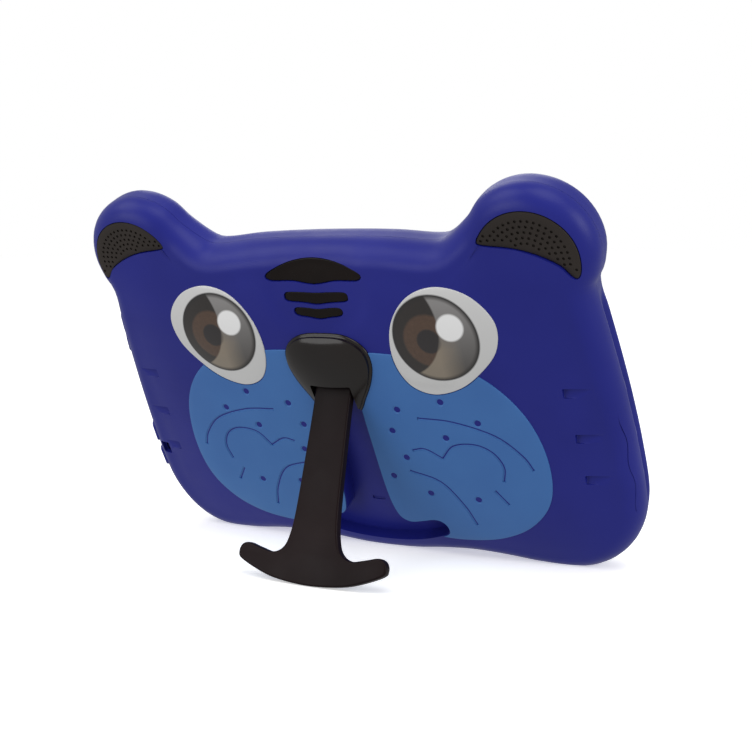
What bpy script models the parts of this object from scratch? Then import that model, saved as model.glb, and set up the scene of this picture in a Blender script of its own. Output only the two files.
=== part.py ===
"""A child's tablet: screen in front, tiger face behind, folding kickstand.

Every piece is drawn in the tablet's own frame: X across the screen, Y up it, Z out of the glass,
with the origin at the centre of the picture area. An empty leans that frame back on its stand and
puts the middle of the footprint at the world's origin, +Z up.
"""

from math import atan2, cos, hypot, pi, radians, sin

import bmesh
import bpy
from mathutils import Matrix, Vector

mm = 0.001

# Driving dimensions -----------------------------------------------------------------------------
STAND_ANGLE = radians(44.1354)  # the open leg from the back of the case, which sets how far it leans
GAP = 0.3 * mm  # between pieces that touch

CASE_HALF_WIDTH = 98.5 * mm
CASE_TOP = 65.3 * mm
CASE_BOTTOM = 62.5 * mm
NECK_HALF_WIDTH = 91.5 * mm  # under the ears
NECK_HEIGHT = 47.0 * mm
BOTTOM_BULGE_X = 71.0 * mm
BOTTOM_WAVE = 3.5 * mm
EAR_X = 73.0 * mm
EAR_Y = 60.0 * mm
EAR_RADIUS = 22.0 * mm
RIM_DEPTH = 15.5 * mm  # from the glass to the back, at the rim
CROWN = 6.5 * mm  # how far the middle of the back stands out past the rim
REAR_ROUND = 8.0 * mm
PARTING_DEPTH = 7.0 * mm
WALL = 2.0 * mm
LIP_HEIGHT = 1.0 * mm
BASE_FLAT = 0.6 * mm  # taken off the bulges that the case stands on

SCREEN_HALF_WIDTH = 77.1 * mm
SCREEN_HALF_HEIGHT = 42.95 * mm
GLASS_HALF_WIDTH = 94.6 * mm
GLASS_TOP = 59.5 * mm
GLASS_BOTTOM = 54.4 * mm
GLASS_THICKNESS = 1.1 * mm
LEDGE_THICKNESS = 1.0 * mm
PANEL_MARGIN = 5.0 * mm
PANEL_THICKNESS = 2.4 * mm
FRAME_THICKNESS = 1.4 * mm
CHASSIS_THICKNESS = 0.6 * mm
BATTERY_SIZE = (96 * mm, 52 * mm, 3.4 * mm)
BOARD_SIZE = (118 * mm, 30 * mm, 1.0 * mm)
CAMERA_Y = 55.5 * mm
CAMERA_RADIUS = 2.2 * mm
SPEAKER_RADIUS = 9.0 * mm
SPEAKER_DEPTH = 5.0 * mm
SHIELD_SIZE = (38 * mm, 18 * mm, 1.8 * mm)
CHIP_SIZE = (12 * mm, 12 * mm, 1.0 * mm)
SCREW_RADIUS = 1.0 * mm
SCREW_HEAD_RADIUS = 2.1 * mm
PORT_WIDTH = 7.6 * mm
PORT_HEIGHT = 2.6 * mm
PORT_LENGTH = 5.6 * mm

INLAY_DEPTH = 1.0 * mm
INLAY_PROUD = 0.35 * mm
EYE_DOME = 1.6 * mm
NOSE_EDGE = 0.9 * mm
NOSE_BULGE = 3.4 * mm
GRILLE_THICKNESS = 0.8 * mm
GRILLE_SINK = 0.1 * mm
GRILLE_BORDER = 5.6 * mm  # blue left round the outside of the ear's grille
SOUND_HOLE_RADIUS = 0.8 * mm
SEAT_LEDGE = 1.6 * mm  # that the grille rests on, all round
WHISKER_HALF = 1.1 * mm
WHISKER_DEPTH = 0.7 * mm

PIVOT_Y = 18.0 * mm
PIVOT_DEPTH = 19.5 * mm
PIN_RADIUS = 1.0 * mm
PIN_CLEARANCE = 0.25 * mm
BARREL_RADIUS = 2.4 * mm
WASHER_THICKNESS = 0.6 * mm
BLOCK_LENGTH = 3.2 * mm
BLOCK_REACH = 3.2 * mm  # above and below the pin
POCKET_ROOM = 0.5 * mm  # past the ends of the pin
POCKET_REACH = 7.6 * mm
POCKET_FLOOR = 1.7 * mm  # under the leg's barrel
LEG_REACH = 71.0 * mm  # pivot to the lowest point of the foot
LEG_TOP_HALF = 7.0 * mm
LEG_LOW_HALF = 8.6 * mm
LEG_THICKNESS = 3.4 * mm
FOOT_HALF_WIDTH = 28.5 * mm
FOOT_DEPTH = 10.5 * mm  # from the tips of the foot down to its lowest point
FOOT_FLAT = 0.7 * mm
FOLD_TILT = radians(2.5)  # the folded leg leans into its recess
RECESS_CLEARANCE = 0.8 * mm

KEY_ANGLE = radians(24.0)  # round the rear edge, where the keys face
KEY_WIDTH = 4.4 * mm
KEY_PROUD = 0.7 * mm
KEY_TRAVEL = 0.4 * mm
KEY_SIDE_GAP = 0.3 * mm
KEY_CORNER = 1.4 * mm
FLANGE_DROP = 1.4 * mm  # below the inside of the wall
FLANGE_THICKNESS = 0.7 * mm
FLANGE_BORDER = (1.1 * mm, 0.8 * mm)
SWITCH_SIZE = (5.2 * mm, 3.4 * mm, 1.6 * mm)
KEYS = {  # name: (height of its middle, length)
    "volume_rocker": (29.0 * mm, 17.0 * mm),
    "power_key": (-17.5 * mm, 9.0 * mm),
    "back_key": (-29.5 * mm, 9.0 * mm),
}
SWITCHES = {  # name: (key that works it, offset from the key's middle)
    "switch_volume_up": ("volume_rocker", 5.5 * mm),
    "switch_volume_down": ("volume_rocker", -5.5 * mm),
    "switch_power": ("power_key", 0.0),
    "switch_back": ("back_key", 0.0),
}
PORT_Y = -23.5 * mm
FLUTES_Y = (15.0 * mm, -2.5 * mm, -19.0 * mm)

GRILLE_CENTRE = (EAR_X + 1.0 * mm, EAR_Y - 0.7 * mm)
SPEAKER_MIDDLE = (EAR_X + 3.5 * mm, EAR_Y + 4 * mm)
CURVE_STEPS = 2  # mesh points from one of an outline's own points to the next

COLOURS = {  # base colour, roughness, metallic
    "case_blue": ((0.022, 0.022, 0.215), 0.38, 0.0),
    "cheek_blue": ((0.055, 0.150, 0.420), 0.45, 0.0),
    "glass_grey": ((0.62, 0.62, 0.63), 0.12, 0.0),
    "eye_white": ((0.60, 0.60, 0.58), 0.20, 0.0),
    "nose_black": ((0.020, 0.017, 0.014), 0.22, 0.0),
    "stand_black": ((0.013, 0.009, 0.008), 0.35, 0.0),
    "grille_grey": ((0.022, 0.017, 0.013), 0.55, 0.0),
    "screen": ((0.10, 0.60, 0.85), 0.10, 0.0),
    "steel": ((0.55, 0.56, 0.58), 0.30, 1.0),
    "board_green": ((0.01, 0.12, 0.05), 0.45, 0.0),
    "cell_silver": ((0.60, 0.60, 0.62), 0.40, 0.2),
    "part_black": ((0.02, 0.02, 0.02), 0.50, 0.0),
}


# Outlines ---------------------------------------------------------------------------------------
def smooth(points, steps=CURVE_STEPS):
    """A closed curve through the points, as a polygon with this many steps between two of them."""
    curve = []
    count = len(points)
    for i in range(count):
        a, b, c, d = (Vector(points[(i + k) % count]) for k in (-1, 0, 1, 2))
        for k in range(steps):
            t = k / steps
            curve.append(0.5 * (2 * b + (c - a) * t + (2 * a - 5 * b + 4 * c - d) * t**2
                                + (3 * b - a - 3 * c + d) * t**3))
    return curve


def mirrored(half):
    """A closed outline from its right half, which runs from the top middle to the bottom middle."""
    return half + [(-x, y) for x, y in reversed(half[1:-1])]


def grown(outline, distance):
    """The clockwise outline moved outwards along its own normals."""
    moved = []
    for i, point in enumerate(outline):
        along = outline[(i + 1) % len(outline)] - outline[i - 1]
        moved.append(point + distance * Vector((-along.y, along.x)).normalized())
    return moved


def arc(centre, radius, first, last, count):
    """Points on an arc, angles in degrees."""
    turns = [radians(first + (last - first) * i / (count - 1)) for i in range(count)]
    return [(centre[0] + radius * cos(a), centre[1] + radius * sin(a)) for a in turns]


def case_outline():
    top = [(0, CASE_TOP), (24 * mm, CASE_TOP - 0.5 * mm), (40 * mm, CASE_TOP - 1.9 * mm),
           (EAR_X - EAR_RADIUS - 5 * mm, CASE_TOP - 0.8 * mm)]
    ear = arc((EAR_X, EAR_Y), EAR_RADIUS, 150, -20, 9)
    drop = NECK_HEIGHT + CASE_BOTTOM / 2
    rise = CASE_HALF_WIDTH - NECK_HALF_WIDTH
    side = [(NECK_HALF_WIDTH + rise * sin(t * pi / 2), NECK_HEIGHT - drop * t)
            for t in (0, 0.14, 0.35, 0.56, 0.78)]
    corner_x = CASE_HALF_WIDTH - BOTTOM_BULGE_X
    corner = [(BOTTOM_BULGE_X + corner_x * cos(a), -CASE_BOTTOM / 2 * (1 + sin(a)))
              for a in (radians(d) for d in (0, 18, 36, 54, 72))]
    wave = [(BOTTOM_BULGE_X * t, -CASE_BOTTOM + BOTTOM_WAVE * sin(pi * t) ** 2)
            for t in (1, 0.83, 0.66, 0.5, 0.34, 0.17, 0)]
    return smooth(mirrored(top + ear + side + corner + wave), 1)


def glass_outline(grow=0.0):
    w = GLASS_HALF_WIDTH
    top = arc((w - 25.6 * mm, GLASS_TOP - 20 * mm), 20 * mm, 90, 0, 4)
    low = arc((w - 17.6 * mm, 15 * mm - GLASS_BOTTOM), 15 * mm, 0, -90, 4)
    half = [(0, GLASS_TOP), (w - 50 * mm, GLASS_TOP)] + top
    half += [(w - 2.3 * mm, 18 * mm), (w, -8 * mm), (w - 0.2 * mm, -27 * mm)]
    half += low + [(w - 50 * mm, -GLASS_BOTTOM), (0, -GLASS_BOTTOM)]
    return grown(smooth(mirrored(half)), grow)


def box_outline(half_width, half_height, centre=(0, 0), radius=0.0):
    """A clockwise rectangle with rounded corners."""
    x, y = half_width - radius, half_height - radius
    if not radius:
        corners = ((-1, 1), (1, 1), (1, -1), (-1, -1))
        return [Vector((centre[0] + i * x, centre[1] + j * y)) for i, j in corners]
    points = []
    for i, j, start in ((1, 1, 90), (1, -1, 0), (-1, -1, -90), (-1, 1, -180)):
        points += arc((centre[0] + i * x, centre[1] + j * y), radius, start, start - 90, 4)
    return [Vector(p) for p in points]


def circle_outline(radius, centre=(0, 0), sides=16):
    step = 360 / sides
    return [Vector(p) for p in arc(centre, radius, 90, 90 - 360 + step, sides)]


def flipped(outline):
    """The outline mirrored to the other side, still clockwise."""
    return [Vector((-p[0], p[1])) for p in reversed(outline)]


def at_bearings_of(outline, guide):
    """Points of a star-shaped outline on the same bearings from the middle as the guide's points."""
    found = []
    for target in guide:
        ray = Vector(target)
        best = None
        for a, b in zip(outline, outline[1:] + outline[:1]):
            edge = b - a
            cross = ray.x * edge.y - ray.y * edge.x
            if abs(cross) < 1e-15:
                continue
            along_ray = (a.x * edge.y - a.y * edge.x) / cross
            along_edge = (a.x * ray.y - a.y * ray.x) / cross
            if along_ray > 0 and -1e-9 <= along_edge <= 1 + 1e-9:
                best = ray * along_ray
        found.append(best)
    return found


def eye_outline(grow=0.0):
    """An egg on its side: broad at the top outside, narrow at the bottom inside."""
    points = [(44, 52.8), (55, 49.6), (62, 41), (61, 31), (54, 22.5), (46, 16.8), (36.5, 14.6),
              (28.6, 18.4), (24.8, 28), (26.4, 40), (33.5, 49.4)]
    return grown(smooth([(x * mm, y * mm) for x, y in points]), grow)


def cheek_outline():
    points = [(12, 29.3), (24, 29.6), (44, 27), (58, 18.5), (67.5, 5), (71.6, -12), (70, -28),
              (62, -39.5), (50, -46.5), (36, -49.2), (24, -48.6), (14, -44), (8, -36), (5.5, -10),
              (5.5, 10), (7, 24)]
    return smooth([(x * mm, y * mm) for x, y in points])


def nose_outline(grow=0.0):
    half = [(0, 36.3), (9, 35.6), (15, 31.5), (16.5, 25.5), (14.6, 18.5), (10.8, 11.5), (7.2, 6),
            (0, 4.6)]
    return grown(smooth(mirrored([(x * mm, y * mm) for x, y in half])), grow)


def grille_outline(grow=0.0):
    """A crescent in the ear: an arc round the top and a shallow hollow edge below."""
    radius = EAR_RADIUS - GRILLE_BORDER
    upper = arc(GRILLE_CENTRE, radius, 156, -15, 9)
    lower = [(GRILLE_CENTRE[0] + radius * x, GRILLE_CENTRE[1] + radius * y)
             for x, y in ((0.6, -0.04), (0.17, 0.18), (-0.35, 0.33))]
    return grown([Vector(p) for p in upper + lower], grow)


STRIPES = {  # outlines of the forehead stripes, right halves from top to bottom
    "stripe_top": [(0, 61.5), (7, 60.8), (13.5, 58.8), (18, 56.3), (16, 54.4), (8, 54.3), (0, 53.2)],
    "stripe_middle": [(0, 50.2), (6, 50.4), (11, 50.3), (12, 48.9), (11, 47.5), (5, 47), (0, 46.4)],
    "stripe_low": [(0, 44.6), (4.5, 45), (8.2, 45), (9.2, 43.7), (8, 42.4), (4, 41.8), (0, 41.2)],
}


def stripe_outline(name, grow=0.0):
    half = [(x * mm, y * mm) for x, y in STRIPES[name]]
    return grown([Vector(p) for p in mirrored(half)], grow)


def leg_outline(grow=0.0):
    """The kickstand, hanging down from its pivot at the origin: a flared leg and an anchor-shaped foot."""
    tips = LEG_REACH - FOOT_DEPTH
    tip_radius = 3.2 * mm
    shaft = [(0, BARREL_RADIUS), (LEG_TOP_HALF, BARREL_RADIUS), (LEG_TOP_HALF, -12 * mm),
             (LEG_LOW_HALF - 0.3 * mm, -tips + 16 * mm), (LEG_LOW_HALF + 0.9 * mm, -tips + 5 * mm),
             (LEG_LOW_HALF + 4.4 * mm, -tips - 0.6 * mm), (FOOT_HALF_WIDTH - 8 * mm, -tips - 0.2 * mm)]
    tip = arc((FOOT_HALF_WIDTH - tip_radius, -tips - tip_radius + 1.4 * mm), tip_radius, 95, -60, 4)
    under = [(FOOT_HALF_WIDTH * sin(radians(a)), -tips - FOOT_DEPTH * cos(radians(a))) for a in (40, 22)]
    half = shaft + tip + under + [(0, -LEG_REACH)]
    return grown([Vector(p) for p in mirrored(half)], grow)


# Surfaces of the case ---------------------------------------------------------------------------
def back_depth(x, y):
    """How deep the back of the case lies behind the glass at this point."""
    across = max(0.0, 1 - (x / (CASE_HALF_WIDTH - REAR_ROUND)) ** 4)
    up = max(0.0, 1 - (y / (CASE_BOTTOM + 1.5 * mm)) ** 4)
    return RIM_DEPTH + CROWN * across * up


def wall_x(y):
    """Half the width of the case at this height."""
    outline = [p for p in case_outline() if p.x > CASE_HALF_WIDTH / 2]
    below = max((p for p in outline if p.y <= y), key=lambda p: p.y)
    above = min((p for p in outline if p.y > y), key=lambda p: p.y)
    share = (y - below.y) / (above.y - below.y)
    return below.x + share * (above.x - below.x)


# Mesh tools -------------------------------------------------------------------------------------
def new_object(name, bm, colour):
    bm.normal_update()
    bmesh.ops.triangulate(bm, faces=bm.faces)
    bmesh.ops.recalc_face_normals(bm, faces=bm.faces)
    mesh = bpy.data.meshes.new(name)
    bm.to_mesh(mesh)
    bm.free()
    obj = bpy.data.objects.new(name, mesh)
    bpy.context.collection.objects.link(obj)
    if colour:
        mesh.materials.append(material(colour))
    return obj


def material(name):
    found = bpy.data.materials.get(name)
    if found:
        return found
    made = bpy.data.materials.new(name)
    made.use_nodes = True
    shader = made.node_tree.nodes["Principled BSDF"]
    colour, roughness, metallic = COLOURS[name]
    shader.inputs["Base Color"].default_value = (*colour, 1.0)
    shader.inputs["Roughness"].default_value = roughness
    shader.inputs["Metallic"].default_value = metallic
    return made


def loft(name, rings, colour=None, closed=False):
    """A solid through rings of equal length: open ends are capped, a closed one returns to its start."""
    bm = bmesh.new()
    loops = [[bm.verts.new(p) for p in ring] for ring in rings]
    pairs = list(zip(loops, loops[1:]))
    if closed:
        pairs.append((loops[-1], loops[0]))
    for lower, upper in pairs:
        for i in range(len(lower)):
            j = (i + 1) % len(lower)
            bm.faces.new((lower[i], lower[j], upper[j], upper[i]))
    if not closed:
        bm.faces.new(loops[0])
        bm.faces.new(reversed(loops[-1]))
    return new_object(name, bm, colour)


def flat_ring(outline, z):
    return [(p.x, p.y, z) for p in outline]


def plate(name, outline, low, high, colour=None):
    return loft(name, [flat_ring(outline, low), flat_ring(outline, high)], colour)


def back_pad(name, outline, inner, outer, colour=None, dome=0.0):
    """A pad that follows the back of the case, from inner to outer past it, with an optional dome."""
    middle = sum(outline, Vector((0, 0))) / len(outline)
    rings = []
    for offset, shares in ((inner, (0.35, 0.7, 1)), (outer, (1, 0.86, 0.6, 0.25))):
        for share in shares:
            bulge = dome * (1 - share**2) if offset == outer else 0.0
            points = [middle + share * (p - middle) for p in outline]
            rings.append([(p.x, p.y, -back_depth(p.x, p.y) - offset - bulge) for p in points])
    return loft(name, rings, colour)


def box(name, low, high, colour=None):
    bm = bmesh.new()
    bmesh.ops.create_cube(bm, size=1.0)
    for vert in bm.verts:
        vert.co = Vector(low[k] if vert.co[k] < 0 else high[k] for k in range(3))
    return new_object(name, bm, colour)


def cylinder(name, radius, length, colour=None, sides=16, axis="Z"):
    bm = bmesh.new()
    bmesh.ops.create_cone(bm, cap_ends=True, segments=sides, radius1=radius, radius2=radius, depth=length)
    if axis == "X":
        bmesh.ops.rotate(bm, matrix=Matrix.Rotation(pi / 2, 3, "Y"), verts=bm.verts)
    return new_object(name, bm, colour)


def moved(obj, offset, turn=0.0):
    """Moves the mesh itself, after turning it about X, so that the object's origin stays where it is."""
    obj.data.transform(Matrix.Translation(offset) @ Matrix.Rotation(turn, 4, "X"))
    return obj


def combine(target, operation, tool):
    """Applies one Boolean to the target and removes the tool."""
    step = target.modifiers.new(operation.title(), "BOOLEAN")
    step.operation = operation
    step.object = tool
    step.solver = "MANIFOLD"  # the exact solver leaves open edges after as many cuts as the case has
    result = target.evaluated_get(bpy.context.evaluated_depsgraph_get())
    shaped = bpy.data.meshes.new_from_object(result)
    shaped.name = target.name
    target.modifiers.clear()
    target.data = shaped
    bpy.data.objects.remove(tool)
    return target


def cut(target, tool):
    return combine(target, "DIFFERENCE", tool)


def join(target, tool):
    return combine(target, "UNION", tool)


# Places that several pieces share ---------------------------------------------------------------
PIVOT = Vector((0, PIVOT_Y, -PIVOT_DEPTH))
WASHER_X = LEG_TOP_HALF + GAP + WASHER_THICKNESS / 2
BLOCK_X = WASHER_X + WASHER_THICKNESS / 2 + GAP
PIN_HALF_LENGTH = BLOCK_X + BLOCK_LENGTH
POCKET_TOP = BARREL_RADIUS + POCKET_FLOOR - PIVOT_DEPTH
CHASSIS_BACK = -(GLASS_THICKNESS + GAP + LEDGE_THICKNESS + GAP + PANEL_THICKNESS + GAP + FRAME_THICKNESS
                 + GAP + CHASSIS_THICKNESS)
BATTERY_MIDDLE = (-22 * mm, -8 * mm)
BOARD_MIDDLE = (12 * mm, 38 * mm)
SHIELD_MIDDLE = (BOARD_MIDDLE[0] + 10 * mm, BOARD_MIDDLE[1] - 1 * mm)
CHIP_MIDDLE = (BOARD_MIDDLE[0] - 24 * mm, BOARD_MIDDLE[1])
SCREW_SPOTS = [(BOARD_MIDDLE[0] + i * (BOARD_SIZE[0] / 2 - 5 * mm),
                BOARD_MIDDLE[1] + j * (BOARD_SIZE[1] / 2 - 4 * mm))
               for i, j in ((-1, -1), (-1, 1), (1, -1), (1, 1))]


def ground_height(lean):
    """The ground under the leaning case, as a height along the world's Z from the screen's middle."""
    y = -(CASE_BOTTOM - REAR_ROUND)
    z = -(RIM_DEPTH - REAR_ROUND)
    return y * cos(lean) + z * sin(lean) - REAR_ROUND + BASE_FLAT


def foot_clearance(lean):
    """How far above the ground the open leg's foot would be at this lean."""
    pivot_height = PIVOT_Y * cos(lean) - PIVOT_DEPTH * sin(lean) - ground_height(lean)
    half = LEG_THICKNESS / 2
    drop = hypot(LEG_REACH, half) * cos(STAND_ANGLE - lean - atan2(half, LEG_REACH))
    return pivot_height + FOOT_FLAT - drop


def resting_lean():
    """The lean at which the case and the open leg both stand on the ground."""
    low, high = 0.0, STAND_ANGLE
    for _ in range(50):
        middle = (low + high) / 2
        if foot_clearance(middle) > 0:
            low = middle
        else:
            high = middle
    return (low + high) / 2


LEAN = resting_lean()


def below_ground():
    """Everything under the ground, as a tool in the tablet's frame."""
    reach = 3 * CASE_HALF_WIDTH
    tool = box("below_ground", (-reach, -reach, -reach), (reach, reach, 0))
    drop = Matrix.Translation((0, 0, ground_height(LEAN)))
    tool.data.transform(Matrix.Rotation(LEAN - pi / 2, 4, "X") @ drop)
    return tool


def leg_tool(grow, below, above):
    """The folded leg's own space in the back of the case, grown all round."""
    half = LEG_THICKNESS / 2
    tool = plate("leg_space", leg_outline(grow), -half - above, half + below)
    tool.data.transform(Matrix.Translation(PIVOT) @ Matrix.Rotation(-FOLD_TILT, 4, "X"))
    return tool


def pivot_pocket(grow):
    """The pocket under the nose that holds the hinge."""
    half = (PIN_HALF_LENGTH + POCKET_ROOM + grow, POCKET_REACH + grow)
    outline = box_outline(*half, (0, PIVOT_Y), 1.5 * mm + grow)
    return plate("pivot_pocket", outline, -back_depth(0, 0) - 6 * mm, POCKET_TOP + grow)


# The case ---------------------------------------------------------------------------------------
def front_frame():
    outline = case_outline()

    def case_ring(grow, z):
        return flat_ring(grown(outline, grow), z)

    def inner_ring(shape, z):
        return flat_ring(at_bearings_of(shape, outline), z)

    seat = -GLASS_THICKNESS - GAP
    window = box_outline(SCREEN_HALF_WIDTH + 3 * mm, SCREEN_HALF_HEIGHT + 3 * mm)
    rings = [
        case_ring(0, -PARTING_DEPTH), case_ring(0, -5 * mm), case_ring(-1.3 * mm, -2.6 * mm),
        case_ring(-1.1 * mm, -0.4 * mm), case_ring(-1.9 * mm, LIP_HEIGHT),
        inner_ring(glass_outline(GAP + 0.5 * mm), LIP_HEIGHT), inner_ring(glass_outline(GAP), 0.4 * mm),
        inner_ring(glass_outline(GAP), seat), inner_ring(window, seat),
        inner_ring(window, seat - LEDGE_THICKNESS),
        case_ring(-WALL - 1.2 * mm, seat - LEDGE_THICKNESS), case_ring(-WALL, -5 * mm),
        case_ring(-WALL, -PARTING_DEPTH),
    ]
    frame = loft("front_frame", rings, "case_blue", closed=True)
    for side in (1, -1):
        outline_in = grille_outline(GAP)
        throat = grille_outline(-SEAT_LEDGE)
        if side < 0:
            outline_in, throat = flipped(outline_in), flipped(throat)
        sink = LIP_HEIGHT - GRILLE_SINK - GRILLE_THICKNESS - GAP
        cut(frame, plate("grille_seat", outline_in, sink, 5 * mm))
        cut(frame, plate("grille_throat", throat, -6 * mm, 5 * mm))
        for y in FLUTES_Y:
            cut(frame, flute(side, y))
    eye = circle_outline(CAMERA_RADIUS + GAP, (0, CAMERA_Y))
    cut(frame, plate("camera_hole", eye, seat - 2 * LEDGE_THICKNESS, seat + mm))
    cut(frame, below_ground())
    return frame


def flute(side, y):
    """A shallow scallop for the fingers, across the side of the case."""
    radius = 9 * mm
    tool = cylinder("flute", radius, 14 * mm, sides=24)
    return moved(tool, (side * (wall_x(y) + radius - 0.9 * mm), y + 1.5 * mm, -2.6 * mm))


def shell_solid(name, inset, front, colour=None):
    """The rear half of the case as a full solid: rounded at the rim, crowned in the middle."""
    outline = grown(case_outline(), -inset)
    round_off = REAR_ROUND - inset
    shoulder = grown(outline, -round_off)
    rings = [flat_ring(outline, front)]
    for angle in (0, 30, 60, 90):
        rise, run = sin(radians(angle)), round_off * (1 - cos(radians(angle)))
        start = RIM_DEPTH - REAR_ROUND
        ring = [(p.x, p.y, -start - (back_depth(q.x, q.y) - inset - start) * rise)
                for p, q in zip(grown(outline, -run), shoulder)]
        rings.append(ring)
    heart = [Vector((p.x, p.y)).normalized() for p in shoulder]
    heart = [Vector((p.x * 24 * mm, p.y * 15 * mm)) for p in heart]
    for share in (0.14, 0.4, 0.68, 1):
        ring = [p + share * (q - p) for p, q in zip(shoulder, heart)]
        rings.append([(p.x, p.y, inset - back_depth(p.x, p.y)) for p in ring])
    return loft(name, rings, colour)


def rear_shell():
    front = -PARTING_DEPTH - GAP
    shell = shell_solid("rear_shell", 0.0, front, "case_blue")
    cavity = shell_solid("cavity", WALL, front + 2 * mm)
    wall = 1.6 * mm
    cut(cavity, leg_tool(RECESS_CLEARANCE + wall, RECESS_CLEARANCE + wall, 14 * mm))
    cut(cavity, pivot_pocket(wall))
    cut(shell, cavity)
    cut(shell, leg_tool(RECESS_CLEARANCE, RECESS_CLEARANCE, 14 * mm))
    cut(shell, pivot_pocket(0.0))
    for side in (1, -1):
        keep = (lambda shape: shape) if side > 0 else flipped
        deep = -INLAY_DEPTH - GAP
        cut(shell, back_pad("cheek_seat", keep(cheek_outline()), deep, 4 * mm))
        cut(shell, back_pad("eye_seat", keep(eye_outline(GAP)), deep, 4 * mm))
        sunk = -RIM_DEPTH + GRILLE_SINK + GRILLE_THICKNESS + GAP
        cut(shell, plate("grille_seat", keep(grille_outline(GAP)), -RIM_DEPTH - 5 * mm, sunk))
        throat = keep(grille_outline(-SEAT_LEDGE))
        cut(shell, plate("grille_throat", throat, -RIM_DEPTH - 5 * mm, -9 * mm))
        for y in FLUTES_Y:
            x = wall_x(y)
            low, high = sorted((side * (x - 17 * mm), side * (x + 3 * mm)))
            depth = back_depth(x - 12 * mm, y)
            whisker = box("whisker", (low, y - WHISKER_HALF, -depth - 4 * mm),
                          (high, y + WHISKER_HALF, WHISKER_DEPTH - depth))
            cut(shell, whisker)
    for name in STRIPES:
        cut(shell, back_pad("stripe_seat", stripe_outline(name, GAP), -INLAY_DEPTH - GAP, 4 * mm))
    for y, length in KEYS.values():
        hole = box_outline(length / 2 + KEY_SIDE_GAP, KEY_WIDTH / 2 + KEY_SIDE_GAP, (0, 0), 1.6 * mm)
        tool = plate("key_hole", hole, -8 * mm, 8 * mm)
        tool.data.transform(side_frame(y))
        cut(shell, tool)
    x = wall_x(PORT_Y)
    cut(shell, box("port_notch", (x - 9 * mm, PORT_Y - 1.6 * mm, -RIM_DEPTH - 3 * mm),
                   (x - 4.5 * mm, PORT_Y + 3.6 * mm, -RIM_DEPTH + 3.4 * mm)))
    cut(shell, below_ground())
    return shell


def side_frame(y):
    """Puts a plate drawn in XY on the rounded right wall: its X runs up the wall, its Z outwards."""
    step = 5 * mm
    along = Vector((wall_x(y + step) - wall_x(y - step), 2 * step, 0)).normalized()
    level = Vector((along.y, -along.x, 0))
    outward = cos(KEY_ANGLE) * level - Vector((0, 0, sin(KEY_ANGLE)))
    centre = Vector((wall_x(y), y, REAR_ROUND - RIM_DEPTH)) - REAR_ROUND * level
    turn = Matrix((along, outward.cross(along), outward)).transposed().to_4x4()
    return Matrix.Translation(centre + REAR_ROUND * outward) @ turn


# The face on the back ---------------------------------------------------------------------------
def face_pieces():
    made = []
    for side, word in ((1, "left"), (-1, "right")):
        keep = (lambda shape: shape) if side > 0 else flipped
        shape = grown(keep(cheek_outline()), -GAP)
        cheek = back_pad(f"cheek_{word}", shape, -INLAY_DEPTH, INLAY_PROUD, "cheek_blue")
        cut(cheek, back_pad("eye_space", keep(eye_outline(2 * GAP)), -4 * mm, 4 * mm))
        cut(cheek, back_pad("nose_space", nose_outline(GAP), -4 * mm, 4 * mm))
        cut(cheek, leg_tool(RECESS_CLEARANCE + GAP, 4 * mm, 14 * mm))
        eye = back_pad(f"eye_{word}", keep(eye_outline()), -INLAY_DEPTH, INLAY_PROUD, "eye_white",
                       dome=EYE_DOME)
        made += [cheek, eye]
        front = LIP_HEIGHT - GRILLE_SINK - GRILLE_THICKNESS
        for place, low in (("front", front), ("rear", GRILLE_SINK - RIM_DEPTH)):
            made.append(grille(f"grille_{place}_{word}", side, low))
    for name in STRIPES:
        made.append(back_pad(name, stripe_outline(name), -INLAY_DEPTH, INLAY_PROUD, "nose_black"))
    return made


def grille(name, side, low):
    """A thin perforated cover, with a few of its sound holes."""
    shape = grille_outline() if side > 0 else flipped(grille_outline())
    cover = plate(name, shape, low, low + GRILLE_THICKNESS, "grille_grey")
    row = EAR_RADIUS - GRILLE_BORDER - 3.7 * mm
    for spot in arc(GRILLE_CENTRE, row, 5, 145, 5):
        hole = circle_outline(SOUND_HOLE_RADIUS, (side * spot[0], spot[1]), 6)
        cut(cover, plate("sound_hole", hole, low - mm, low + GRILLE_THICKNESS + mm))
    return cover


def nose_cap():
    """The nose: a glossy cap over the hinge, slotted for the leg."""
    nose = back_pad("nose_cap", nose_outline(), GAP, NOSE_EDGE, "nose_black", dome=NOSE_BULGE)
    slot = LEG_TOP_HALF + RECESS_CLEARANCE
    cut(nose, box("leg_slot", (-slot, -20 * mm, -60 * mm), (slot, PIVOT_Y, 0)))
    barrel = cylinder("barrel_space", BARREL_RADIUS + 1.1 * mm, 2 * slot, sides=24, axis="X")
    cut(nose, moved(barrel, PIVOT))
    return nose


# The kickstand ----------------------------------------------------------------------------------
def stand_leg():
    half = LEG_THICKNESS / 2
    leg = plate("stand_leg", leg_outline(), -half, half, "stand_black")
    join(leg, cylinder("barrel", BARREL_RADIUS, 2 * LEG_TOP_HALF, sides=24, axis="X"))
    cut(leg, cylinder("pin_hole", PIN_RADIUS + PIN_CLEARANCE, 3 * LEG_TOP_HALF, axis="X"))
    ground = below_ground()
    ground.data.transform(Matrix.Rotation(-STAND_ANGLE, 4, "X") @ Matrix.Translation(-PIVOT))
    cut(leg, ground)
    leg.location = PIVOT
    leg.rotation_euler.x = STAND_ANGLE
    return leg


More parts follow.
